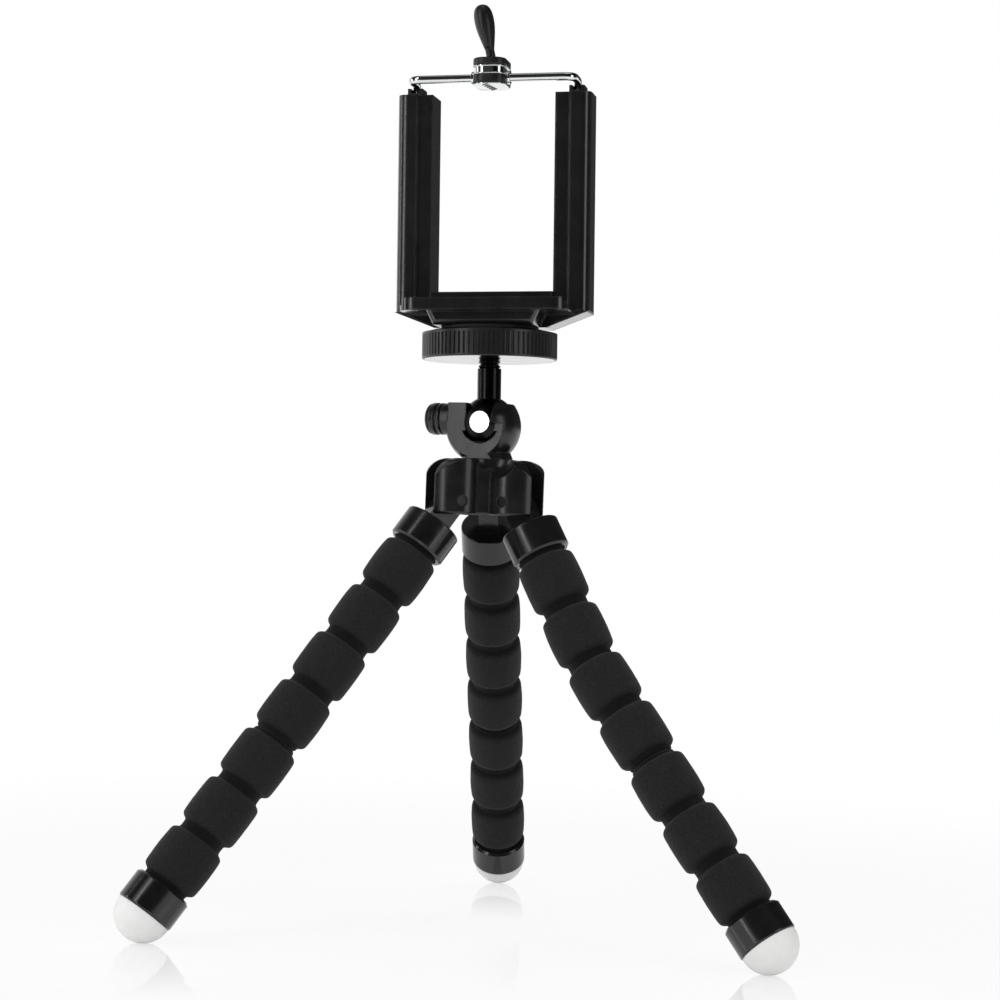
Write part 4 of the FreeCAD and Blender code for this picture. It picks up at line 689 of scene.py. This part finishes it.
def make_slab(name, width, depth, bottom, top, back, front, ease):
    """A flat block with eased edges. Its upright corners have one radius at the back, one at the front."""
    piece = start_piece(
        name,
        bpy.ops.mesh.primitive_cube_add,
        size=1.0,
        location=(0.0, 0.0, (bottom + top) / 2),
        scale=(width, depth, top - bottom),
    )

    def upright(edge, side):
        first, second = ends(piece, edge)
        return (first.xy - second.xy).length < TINY and first.y * side > 0.0

    for side, radius in ((1, back), (-1, front)):
        pick(piece, lambda edge, side=side: upright(edge, side), "edges")
        bpy.ops.mesh.bevel(offset=radius, segments=12, affect="EDGES")
    pick(piece, lambda face: abs(face.normal.z) > 0.99, "faces")
    bpy.ops.mesh.bevel(offset=ease, segments=3, affect="EDGES")
    bpy.ops.object.mode_set(mode="OBJECT")
    return piece


def make_bar(name, radius, width):
    """A plain round bar along X, to add to a piece or to cut from it."""
    return start_piece(
        name,
        bpy.ops.mesh.primitive_cylinder_add,
        vertices=48,
        radius=radius,
        depth=width,
        rotation=(0.0, math.radians(90.0), 0.0),
    )


def combine(piece, other, operation):
    """Adds another piece to this one, or cuts it away; the other one goes."""
    add_modifier(piece, "BOOLEAN", object=other, operation=operation, solver="EXACT")
    apply_all(piece)
    bpy.data.objects.remove(other)


def seat(piece, origin, across, up, *before):
    """Moves a piece drawn about the origin to its place: X goes across and Z goes up."""
    depth = up.cross(across).normalized()
    across = depth.cross(up).normalized()
    turned = Matrix((across, depth, up)).transposed().to_4x4()
    for step in reversed(before):
        piece.data.transform(step)
    piece.data.transform(Matrix.Translation(origin) @ turned)


def smooth(piece, degrees=None):
    """Smooth shading, with the edges over an angle left sharp where one is given."""
    bpy.ops.object.select_all(action="DESELECT")
    piece.select_set(True)
    bpy.context.view_layer.objects.active = piece
    if degrees is None:
        bpy.ops.object.shade_smooth()
    else:
        bpy.ops.object.shade_smooth_by_angle(angle=math.radians(degrees))


# A rib's rounded corner: shares of its length along the leg, and of the groove's depth
RIB_CORNER = ((0.10, 0.14), (0.28, 0.52), (0.58, 0.84))


def rib_steps(foam_size):
    """(height, radius) of one rib, from the middle of a groove to the middle of the next."""
    full = foam_size.diameter / 2
    low = full - foam_size.groove_depth
    floor = foam_size.groove_floor / 2
    corner, crown = foam_size.corner, foam_size.crown
    rise = (
        (floor * 0.85, low),
        *((floor + corner * part, low + foam_size.groove_depth * up) for part, up in RIB_CORNER),
        (floor + corner, full - crown),
        (floor + corner * 1.9, full - crown * 0.4),
        (foam_size.rib_pitch / 2, full),
    )
    fall = [(foam_size.rib_pitch - height, radius) for height, radius in reversed(rise[:-1])]
    return [(0.0, low), *rise, *fall, (foam_size.rib_pitch, low)]


def make_sleeve(name, foam_size, first, ribs, spigot_low, spigot_high):
    """A straight foam sleeve up +Z, with its first groove at height first. It has a bore, and a neck
    at the ends that go into a cap."""
    low = foam_size.diameter / 2 - foam_size.groove_depth
    bore = foam_size.bore / 2
    spigot = foam_size.spigot_diameter / 2
    step = 0.2 * MM
    cuts_per_rib = 6
    last = first + ribs * foam_size.rib_pitch
    piece = start_piece(
        name,
        bpy.ops.mesh.primitive_circle_add,
        vertices=foam_size.sides,
        radius=low,
        fill_type="NOTHING",
        location=(0.0, 0.0, first),
    )
    edit_all()
    grow_ring([(first + height, radius) for height, radius in rib_steps(foam_size)])
    bpy.ops.object.mode_set(mode="OBJECT")
    add_modifier(
        piece,
        "ARRAY",
        count=ribs,
        use_relative_offset=False,
        use_constant_offset=True,
        constant_offset_displace=(0.0, 0.0, foam_size.rib_pitch),
        use_merge_vertices=True,
        merge_threshold=10 * TINY,
    )
    apply_all(piece)
    for height, neck, outwards in ((first, spigot_low, -1), (last, spigot_high, 1)):
        steps = [(height, low)]
        end = height
        if neck:
            end = height + outwards * foam_size.spigot_length
            steps += [(height + outwards * step, spigot), (end - outwards * step * 2, spigot)]
            steps += [(end, spigot * 0.97)]
        steps += [(end, (low + bore) / 2), (end, bore)]
        pick(piece, lambda point, level=height: abs(point.co.z - level) < TINY)
        grow_ring(steps)
    bpy.ops.object.mode_set(mode="OBJECT")
    # How far the skin stands out of a groove's floor; the foam's material paints shade into the grooves from
    # it
    fullness = piece.data.attributes.new("fullness", "FLOAT", "POINT")
    for point, value in zip(piece.data.vertices, fullness.data):
        value.value = max(0.0, (point.co.xy.length - low) / foam_size.groove_depth)
    pick(piece, lambda point: point.co.xy.length < bore * 1.01)
    bpy.ops.mesh.bridge_edge_loops(number_cuts=ribs * cuts_per_rib)
    turn_outwards()
    return piece


class Leg:
    """The bent centre line of one leg, in three runs read from the joints and the foot cap."""

    BODIES = ("_top", "_middle", "_low")
    EASE = 6.0 * MM

    def __init__(self, side, bend_reach):
        self.name = "leg_" + side
        self.bend_reach = bend_reach
        hinge, knee, ankle = (
            Vector(JOINTS[self.name + joint]["pos_m"]) for joint in ("_fold", "_bend_upper", "_bend_lower")
        )
        cap = NODES[self.name + "_foot_cap"].data.vertices
        points = {tuple(round(part, 6) for part in point.co) for point in cap}
        foot = sum((Vector(point) for point in points), Vector()) / len(points)
        self.runs = []
        before = 0.0
        for start, end in ((hinge, knee), (knee, ankle), (ankle, foot)):
            self.runs.append((start, (end - start).normalized(), before))
            before += (end - start).length

    def point(self, distance):
        """The point on the centre line this far from the fold joint."""
        start, direction, before = next(run for run in reversed(self.runs) if distance >= run[2])
        return start + direction * (distance - before)

    def curve(self, end):
        """A curve object along the centre line, eased at the knee and the ankle."""
        stops = [0.0]
        for _, _, joint in self.runs[1:]:
            stops += [joint - self.EASE, joint, joint + self.EASE]
        stops += [end]
        data = bpy.data.curves.new(self.name + "_line", "CURVE")
        data.dimensions = "3D"
        data.twist_mode = "MINIMUM"
        spline = data.splines.new("NURBS")
        spline.points.add(len(stops) - 1)
        for point, distance in zip(spline.points, stops):
            point.co = (*self.point(distance), 1.0)
        spline.order_u = 3
        spline.use_endpoint_u = True
        spline.resolution_u = 24
        line = bpy.data.objects.new(data.name, data)
        bpy.context.scene.collection.objects.link(line)
        return line

    def bend(self, piece):
        """Bakes the piece's place into its mesh."""
        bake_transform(piece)


def along(piece, line, *more):
    """Lays a straight piece along a curve, adds further modifiers, and applies them all."""
    add_modifier(piece, "CURVE", object=line, deform_axis="POS_Z")
    for kind, settings in more:
        add_modifier(piece, kind, **settings)
    apply_all(piece)
    bpy.data.objects.remove(line)


# Operators


class TRIPOD_OT_foam(bpy.types.Operator):
    """Model the ribbed foam sleeves of the three legs"""

    bl_idname = "tripod.foam"
    bl_label = "Foam sleeves"
    bl_options = {"REGISTER", "UNDO"}

    UPPER_RIBS = 4
    LOWER_RIBS = 3

    def execute(self, context):
        size = context.scene.tripod_foam
        swell = bpy.data.textures.new("foam_swell", "CLOUDS")
        swell.noise_scale = size.swell_size
        uneven = {"texture": swell, "strength": size.swell, "mid_level": 0.5, "texture_coords": "LOCAL"}
        split = size.cap_end + self.UPPER_RIBS * size.rib_pitch
        for side in LEGS:
            leg = Leg(side, size.bend_reach)
            for run, part, first, ribs in (
                (1, "upper", size.cap_end, self.UPPER_RIBS),
                (2, "lower", split, self.LOWER_RIBS),
            ):
                name = leg.name + "_sleeve_" + part
                piece = make_sleeve(name, size, first, ribs, part == "upper", part == "lower")
                line = leg.curve(split + (self.LOWER_RIBS + 1) * size.rib_pitch)
                along(piece, line, ("SUBSURF", {"levels": 1, "render_levels": 1}), ("DISPLACE", uneven))
                smooth(piece)
                give(piece, "foam")
                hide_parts(leg.name + "_foam_middle", leg.name + "_foam_" + part)
                leg.bend(piece)
        return {"FINISHED"}


class TRIPOD_OT_wires(bpy.types.Operator):
    """Model the wire core of the three legs, in two lengths laid along the legs' bent line"""

    bl_idname = "tripod.wires"
    bl_label = "Wire cores"
    bl_options = {"REGISTER", "UNDO"}

    CHAMFER = 0.3 * MM
    DOME = 0.05 * MM

    def execute(self, context):
        size = context.scene.tripod_foam
        split = size.cap_end + TRIPOD_OT_foam.UPPER_RIBS * size.rib_pitch
        for side in LEGS:
            leg = Leg(side, size.bend_reach)
            for run, part, free in ((1, "upper", size.wire_top), (2, "lower", size.wire_bottom)):
                piece = self.straight(leg.name + "_core_" + part, size.wire, split, free)
                along(piece, leg.curve(size.wire_bottom + size.rib_pitch))
                smooth(piece, 35.0)
                give(piece, "wire_steel")
                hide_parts(leg.name + "_wire")
                leg.bend(piece)
        return {"FINISHED"}

    def straight(self, name, diameter, joined, free):
        """A straight wire from its joined end's height to its free end's, which is slightly domed."""
        wire = start_piece(
            name,
            bpy.ops.mesh.primitive_cylinder_add,
            vertices=24,
            radius=diameter / 2,
            depth=abs(free - joined),
            location=(0.0, 0.0, (joined + free) / 2),
        )
        inner = (diameter - self.CHAMFER) / 2

        def lengthwise(edge):
            first, second = ends(wire, edge)
            return abs(first.z - second.z) > abs(free - joined) / 2

        pick(wire, lambda face: abs(face.normal.z) > 0.9, "faces")
        bpy.ops.mesh.inset(thickness=self.CHAMFER)
        pick(wire, lengthwise, "edges")
        bpy.ops.mesh.subdivide(number_cuts=40)
        pick(wire, lambda point: abs(point.co.z - free) < 10 * TINY and point.co.xy.length < inner)
        bpy.ops.transform.translate(value=(0.0, 0.0, math.copysign(self.DOME, free - joined)))
        bpy.ops.object.mode_set(mode="OBJECT")
        return wire


class TRIPOD_OT_springs(bpy.types.Operator):
    """Model the two return springs as coils"""

    bl_idname = "tripod.springs"
    bl_label = "Return springs"
    bl_options = {"REGISTER", "UNDO"}

    def execute(self, context):
        size = context.scene.tripod_springs
        lean = UP.rotation_difference(STEM_AXIS).to_matrix().to_4x4()
        for side in SPRINGS:
            node = "spring_" + side
            low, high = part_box(node)
            middle = (low + high) / 2
            long = (high.z - low.z) * 0.99 - size.wire
            piece = self.coil(node + "_coil", size, long)
            piece.data.transform(Matrix.Translation(middle) @ lean @ Matrix.Translation((0, 0, -long / 2)))
            smooth(piece)
            give(piece, "spring_steel")
            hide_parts(node)
            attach(piece, "holder")
            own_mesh(piece)
        return {"FINISHED"}

    def coil(self, name, size, long):
        """A coil up +Z from the origin, this long between the middles of its ends."""
        coil = start_piece(
            name,
            bpy.ops.mesh.primitive_circle_add,
            vertices=8,
            radius=size.wire / 2,
            fill_type="NOTHING",
            location=(size.outer / 2 - size.wire / 2, 0.0, 0.0),
            rotation=(math.radians(90.0), 0.0, 0.0),
        )
        add_modifier(
            coil,
            "SCREW",
            angle=math.tau,
            screw_offset=long / size.turns,
            iterations=size.turns,
            steps=20,
            render_steps=20,
            use_merge_vertices=True,
            merge_threshold=TINY,
        )
        apply_all(coil)
        edit_all()
        bpy.ops.mesh.remove_doubles(threshold=TINY)
        bpy.ops.mesh.fill_holes(sides=12)
        turn_outwards()
        return coil


class TRIPOD_OT_catch(bpy.types.Operator):
    """Model the catch on the phone bar: plate, two pads, sole with treads, and lever with grip"""

    bl_idname = "tripod.catch"
    bl_label = "Catch"
    bl_options = {"REGISTER", "UNDO"}

    RIM_OVERHANG = 0.3 * MM
    ROLL_OVERHANG = 1.6 * MM
    SOLE_INSET = -0.2 * MM
    TREADS = 5
    TREAD_HEIGHT = 0.2 * MM
    TREAD_CORNER = 0.25 * MM
    TREAD_SHIFT = -0.5 * MM
    TREAD_DRIFT = 0.24 * MM
    TREAD_TURN = -0.96
    NECK_FOOT = 1.4 * MM
    NECK = 1.3 * MM
    GRIP_FLATTENED = (0.86, 1.12, 1.0)

    # The grip's outline: millimetres above its start, and shares of its widest radius
    GRIP = (
        (0.0, 0.52), (0.7, 0.58), (2.2, 0.70), (4.2, 0.86), (6.2, 0.97), (8.0, 1.0), (9.6, 0.97),
        (10.9, 0.87), (11.8, 0.70), (12.3, 0.50), (12.55, 0.28), (12.6, 0.08),
    )

    def execute(self, context):
        size = context.scene.tripod_catch
        sole_top = size.sole - size.pad_bottom
        inset = self.SOLE_INSET
        plate = self.plate(size)
        upper = self.slab(size, "catch_cushion_upper", size.plate_top, size.pad_top, 0.4 * MM)
        lower = self.slab(size, "catch_cushion_lower", sole_top, size.plate_bottom, 0.3 * MM)
        combine(lower, make_bar("roll_room", size.barrel + 0.02 * MM, size.width * 2), "DIFFERENCE")
        sole = self.slab(size, "catch_sole", -size.pad_bottom, sole_top, 0.08 * MM, inset, inset)
        treads = [self.tread(size, number) for number in range(self.TREADS)]
        for piece, node, slot in (
            (plate, "catch_plate", "chrome_plate"),
            (upper, "catch_pad_upper", "catch_rubber"),
            (lower, "catch_pad_lower", "catch_rubber"),
            (sole, "catch_pad_lower", "chrome_plate"),
            *((tread, "catch_pad_lower", "catch_rubber") for tread in treads),
        ):
            self.mount(piece, node, slot)
        self.mount(self.lever(size), "catch_lever", "catch_rubber", self.tilt(size), also="lever_grip")
        return {"FINISHED"}

    def mount(self, piece, node, slot, *before, also=None):
        """Puts a piece drawn about the bar's axis in its place on the catch."""
        joint = JOINTS["catch_turn"]
        seat(piece, Vector(joint["pos_m"]), Vector(joint["axis"]).normalized(), STEM_AXIS, *before)
        smooth(piece, 32.0)
        give(piece, slot)
        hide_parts(*(name for name in (node, also) if name))
        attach(piece, "catch")

    def slab(self, size, name, bottom, top, ease, wider=0.0, deeper=0.0):
        """A slab with the outline of the catch, or wider and deeper than it."""
        width, depth = size.width + wider, size.depth + deeper
        return make_slab(name, width, depth, bottom, top, size.corner, size.nose, ease)

    def plate(self, size):
        """The plate: a core between two rims, and a roll round the bar."""
        ease = 0.2 * MM
        bottom, top = size.plate_bottom, size.plate_top
        core_bottom, core_top = bottom + size.rim / 2, top - size.rim / 2
        plate = self.slab(size, "catch_sheet", core_bottom, core_top, ease, -size.recess, -size.recess)
        for level in (bottom, top - size.rim):
            rim = self.slab(size, "rim", level, level + size.rim, ease, wider=self.RIM_OVERHANG)
            combine(plate, rim, "UNION")
        combine(plate, make_bar("roll", size.barrel, size.width + self.ROLL_OVERHANG), "UNION")
        combine(plate, make_bar("bar_room", size.bar, size.width * 2), "DIFFERENCE")
        return plate

    def tread(self, size, number):
        """One slanting rib of the row under the sole."""
        name = "catch_tread_" + str(number + 1)
        half, corner = self.TREAD_HEIGHT / 2, self.TREAD_CORNER
        tread = make_slab(name, size.tread_length, size.tread_width, -half, half, corner, corner, 0.04 * MM)
        offset = number - (self.TREADS - 1) / 2
        across = offset * self.TREAD_DRIFT + self.TREAD_SHIFT
        place = Matrix.Translation((across, offset * size.tread_pitch, -size.pad_bottom))
        tread.data.transform(place @ Matrix.Rotation(self.TREAD_TURN, 4, "Z"))
        return tread

    def lever(self, size):
        """The lever's round neck and its leaf-shaped grip."""
        start = size.lever - self.GRIP[-1][0] * MM
        steps = [(0.0, self.NECK_FOOT), (start * 0.5, self.NECK), (start * 0.9, self.NECK)]
        steps += [(start + height * MM, size.grip * part) for height, part in self.GRIP]
        lever = turn_piece("catch_lever_grip", 40, steps)
        pick(lever, lambda point: point.co.z > start * 0.95)
        bpy.ops.transform.resize(value=self.GRIP_FLATTENED, center_override=(0.0, 0.0, 0.0))
        bpy.ops.object.mode_set(mode="OBJECT")
        add_modifier(lever, "SUBSURF", levels=1, render_levels=1)
        apply_all(lever)
        return lever

    def tilt(self, size):
        """The lever's own place on the upper pad."""
        return Matrix.Translation((0.0, 0.0, size.pad_top)) @ Matrix.Rotation(size.lean, 4, "Y")


class TRIPOD_OT_knob(bpy.types.Operator):
    """Model the lock knob with its rings and its domed end"""

    bl_idname = "tripod.knob"
    bl_label = "Lock knob"
    bl_options = {"REGISTER", "UNDO"}

    # The knob's outline: millimetres from its start, and shares of its radius
    OUTLINE = (
        (0.0, 0.90), (0.12, 0.96), (0.35, 0.985), (1.15, 0.985), (1.40, 0.95), (1.48, 0.90), (1.66, 0.90),
        (1.74, 0.95), (2.00, 1.0), (3.35, 1.0), (3.60, 0.96), (3.68, 0.89), (3.88, 0.89), (3.94, 0.94),
        (4.25, 0.93), (4.60, 0.87), (4.95, 0.75), (5.20, 0.58), (5.35, 0.36), (5.4, 0.12),
    )

    def execute(self, context):
        size = context.scene.tripod_catch
        steps = [(size.knob_start + height * MM, size.knob * part) for height, part in self.OUTLINE]
        piece = turn_piece("lock_knob_turned", 72, steps)
        joint = JOINTS["lock_turn"]
        seat(piece, Vector(joint["pos_m"]), UP, Vector(joint["axis"]).normalized())
        smooth(piece, 40.0)
        give(piece, "hub_plastic")
        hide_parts("lock_knob")
        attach(piece, "lock")
        return {"FINISHED"}


class TRIPOD_OT_leg_fittings(bpy.types.Operator):
    """Finish the caps, foot caps and rubber feet of the legs"""

    bl_idname = "tripod.leg_fittings"
    bl_label = "Caps and feet"
    bl_options = {"REGISTER", "UNDO"}

    def execute(self, context):
        for side in LEGS:
            dress(*("leg_" + side + "_" + part for part in ("cap", "foot_cap", "foot")))
        return {"FINISHED"}


class TRIPOD_OT_hub(bpy.types.Operator):
    """Finish the hub, its hinge pins and its screw"""

    bl_idname = "tripod.hub"
    bl_label = "Hub"
    bl_options = {"REGISTER", "UNDO"}

    def execute(self, context):
        dress("hub", "hinge_pins", "head_screw")
        return {"FINISHED"}


class TRIPOD_OT_ball_head(bpy.types.Operator):
    """Finish the ball head: cup, seat, ball, cross pin, stem, lock nut and lock screw"""

    bl_idname = "tripod.ball_head"
    bl_label = "Ball head"
    bl_options = {"REGISTER", "UNDO"}

    def execute(self, context):
        dress("ball_cup", "ball_seat", "ball", "cross_pin", "ball_stem", "lock_nut", "lock_screw")
        return {"FINISHED"}


class TRIPOD_OT_disc(bpy.types.Operator):
    """Finish the knurled disc and its pad"""

    bl_idname = "tripod.disc"
    bl_label = "Disc"
    bl_options = {"REGISTER", "UNDO"}

    def execute(self, context):
        dress("platform_disc", "disc_pad")
        return {"FINISHED"}


class TRIPOD_OT_phone_holder(bpy.types.Operator):
    """Finish the holder base, the rails and what is fixed to them"""

    bl_idname = "tripod.phone_holder"
    bl_label = "Phone holder"
    bl_options = {"REGISTER", "UNDO"}

    def execute(self, context):
        dress("holder_base", "holder_insert", "jaw_pad")
        dress("rail_left", "rail_right", "rail_plug_left", "rail_plug_right")
        return {"FINISHED"}


class TRIPOD_OT_phone_bar(bpy.types.Operator):
    """Finish the phone bar and its collars"""

    bl_idname = "tripod.phone_bar"
    bl_label = "Phone bar"
    bl_options = {"REGISTER", "UNDO"}

    def execute(self, context):
        dress("hoop", "wire_collars")
        return {"FINISHED"}


class TRIPOD_OT_stage(bpy.types.Operator):
    """Set up the floor, the room light, the lamps and the camera"""

    bl_idname = "tripod.stage"
    bl_label = "Studio"
    bl_options = {"REGISTER", "UNDO"}

    def execute(self, context):
        studio = context.scene.tripod_studio
        make_room(context.scene, studio)
        make_floor(studio)
        make_lamps(studio)
        make_camera(context.scene, studio)
        context.scene.view_settings.view_transform = "Standard"
        return {"FINISHED"}


# Studio


# Each lamp's place, width and height; its brightness is the setting of the same name
LAMPS = {
    "softbox": ((-0.72, -0.76, 0.48), 0.42, 1.25),
    "strip_front": ((-0.66, -0.78, 0.48), 0.07, 1.25),
    "softbox_right": ((0.86, -0.52, 0.30), 0.34, 0.80),
    "strip_left": ((-1.00, -0.06, 0.24), 0.09, 0.80),
    "top_light": ((0.10, -0.10, 1.20), 0.70, 0.70),
}
LAMP_AIM = Vector((0.0, 0.0, 0.13))


def seen_directly(tree):
    """Masks of the rays that show the background: camera rays with those through glass and from the
    sharp mirror of the floor, and all mirrored rays."""
    path = add_node(tree, "ShaderNodeLightPath").outputs
    bare = maths(tree, "MAXIMUM", path["Is Camera Ray"], path["Is Transmission Ray"])
    return maths(tree, "MAXIMUM", bare, path["Is Singular Ray"]), path["Is Glossy Ray"]


def make_room(scene, studio):
    """White to the camera, and even light on the object. Mirrored, the room is dark behind the camera
    and on the right, and darker overhead."""
    scene.world = bpy.data.worlds.new("room")
    scene.world.use_nodes = True
    tree = scene.world.node_tree
    direct, mirrored = seen_directly(tree)
    parts = add_node(tree, "ShaderNodeSeparateXYZ", {"Vector": coordinates(tree, "Generated")}).outputs
    behind = spread(tree, parts["Y"], studio.front, 1.0, start=0.0, end=0.55, smooth=True)
    above = spread(tree, parts["Z"], 1.0, studio.ceiling, start=0.25, end=0.80, smooth=True)
    aside = spread(tree, parts["X"], 0.0, 1.0 - studio.card, start=-0.02, end=0.08, smooth=True)
    level = spread(tree, parts["Z"], 0.0, 1.0, start=-0.04, end=0.04, smooth=True)
    card = maths(tree, "SUBTRACT", 1.0, maths(tree, "MULTIPLY", aside, level))
    shown = maths(tree, "MULTIPLY", maths(tree, "MULTIPLY", behind, above), card)
    ambient = blend_colours(tree, mirrored, rgba([studio.room] * 3), shown)
    plug(tree, tree.nodes["Background"].inputs["Color"], blend_colours(tree, direct, ambient, WHITE))


def make_floor(studio):
    """A white floor that keeps the shadow and mirrors the feet faintly."""
    radius = studio.floor_radius
    floor = start_piece(
        "floor", bpy.ops.mesh.primitive_circle_add, vertices=96, radius=radius, fill_type="NGON"
    )
    material = bpy.data.materials.new("floor")
    material.use_nodes = True
    tree = material.node_tree
    tree.nodes.clear()
    place = coordinates(tree)
    near = 0.0
    fade = {"start": studio.mirror_start, "end": studio.mirror_end, "smooth": True}
    for side in LEGS:
        low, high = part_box("leg_" + side + "_foot")
        spot = Vector(((low.x + high.x) / 2, (low.y + high.y) / 2, 0.0))
        patch = spread(tree, vector_maths(tree, "DISTANCE", place, spot), studio.mirror, 0.0, **fade)
        near = maths(tree, "MAXIMUM", near, patch)
    away = vector_maths(tree, "LENGTH", place)
    far = spread(tree, away, studio.floor, 1.0, start=studio.white_start, end=studio.white_end, smooth=True)
    lit = add_node(tree, "ShaderNodeBsdfDiffuse", {"Color": rgba([0.94] * 3)}).outputs[0]
    plain = add_node(tree, "ShaderNodeEmission", {"Color": WHITE, "Strength": 1.0}).outputs[0]
    gloss = add_node(tree, "ShaderNodeBsdfGlossy", {"Color": WHITE, "Roughness": 0.0}).outputs[0]
    shown = mix_shaders(tree, near, mix_shaders(tree, far, lit, plain), gloss)
    seen = mix_shaders(tree, maths(tree, "MAXIMUM", *seen_directly(tree)), lit, shown)
    add_node(tree, "ShaderNodeOutputMaterial", {"Surface": seen})
    floor.data.materials.append(material)


def mix_shaders(tree, factor, first, second):
    """The output of a Mix Shader node."""
    return add_node(tree, "ShaderNodeMixShader", {0: factor, 1: first, 2: second}).outputs[0]


def make_lamps(studio):
    """Soft rectangular lamps, aimed at the tripod and unseen by the camera."""
    for name, (place, width, height) in LAMPS.items():
        data = bpy.data.lights.new(name, "AREA")
        data.shape = "RECTANGLE"
        data.size = width
        data.size_y = height
        data.energy = getattr(studio, name) * math.pi * width * height
        lamp = bpy.data.objects.new(name, data)
        lamp.location = place
        lamp.rotation_euler = (LAMP_AIM - Vector(place)).to_track_quat("-Z", "Y").to_euler()
        lamp.visible_camera = False
        bpy.context.scene.collection.objects.link(lamp)


def make_camera(scene, studio):
    """The camera, at the angle of the photograph."""
    inwards = Vector((-math.sin(studio.turn), math.cos(studio.turn), 0.0))
    ahead = Matrix.Rotation(studio.yaw, 3, "Z") @ inwards
    right = Vector((ahead.y, -ahead.x, 0.0))
    sight = ahead * math.cos(studio.pitch) + UP * math.sin(studio.pitch)
    above = UP * math.cos(studio.pitch) - ahead * math.sin(studio.pitch)
    side = right * math.cos(studio.roll) + above * math.sin(studio.roll)
    above = above * math.cos(studio.roll) - right * math.sin(studio.roll)
    place = sum(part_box("head_screw"), Vector()) / 2 - inwards * studio.distance
    place.z = studio.height
    data = bpy.data.cameras.new("camera")
    data.sensor_width = 36.0
    data.lens = studio.focal
    data.clip_start = 0.01
    data.clip_end = 100.0
    camera = bpy.data.objects.new("camera", data)
    scene.collection.objects.link(camera)
    camera.matrix_world = Matrix.Translation(place) @ Matrix((side, above, -sight)).transposed().to_4x4()
    scene.camera = camera


# Add-on


OPERATORS = (
    TRIPOD_OT_foam,
    TRIPOD_OT_wires,
    TRIPOD_OT_springs,
    TRIPOD_OT_catch,
    TRIPOD_OT_knob,
    TRIPOD_OT_leg_fittings,
    TRIPOD_OT_hub,
    TRIPOD_OT_ball_head,
    TRIPOD_OT_disc,
    TRIPOD_OT_phone_holder,
    TRIPOD_OT_phone_bar,
    TRIPOD_OT_stage,
)


class TRIPOD_PT_panel(bpy.types.Panel):
    """Pieces of the tripod, with their sizes and colours"""

    bl_label = "Phone tripod"
    bl_idname = "TRIPOD_PT_panel"
    bl_space_type = "VIEW_3D"
    bl_region_type = "UI"
    bl_category = "Tripod"

    def draw(self, context):
        for operator in OPERATORS:
            self.layout.operator(operator.bl_idname)
        for name, group in GROUPS.items():
            box = self.layout.box()
            box.label(text=group.__doc__)
            for setting in group.__annotations__:
                box.prop(getattr(context.scene, name), setting)


CLASSES = (*GROUPS.values(), *OPERATORS, TRIPOD_PT_panel)


def register():
    for kind in CLASSES:
        bpy.utils.register_class(kind)
    for name, group in GROUPS.items():
        setattr(bpy.types.Scene, name, PointerProperty(type=group))


def unregister():
    for name in GROUPS:
        delattr(bpy.types.Scene, name)
    for kind in reversed(CLASSES):
        bpy.utils.unregister_class(kind)


def main():
    """Registers the add-on and makes every piece in order."""
    register()
    for operator in OPERATORS:
        group, name = operator.bl_idname.split(".")
        getattr(getattr(bpy.ops, group), name)()
    bpy.context.view_layer.update()


if __name__ == "__main__":
    main()
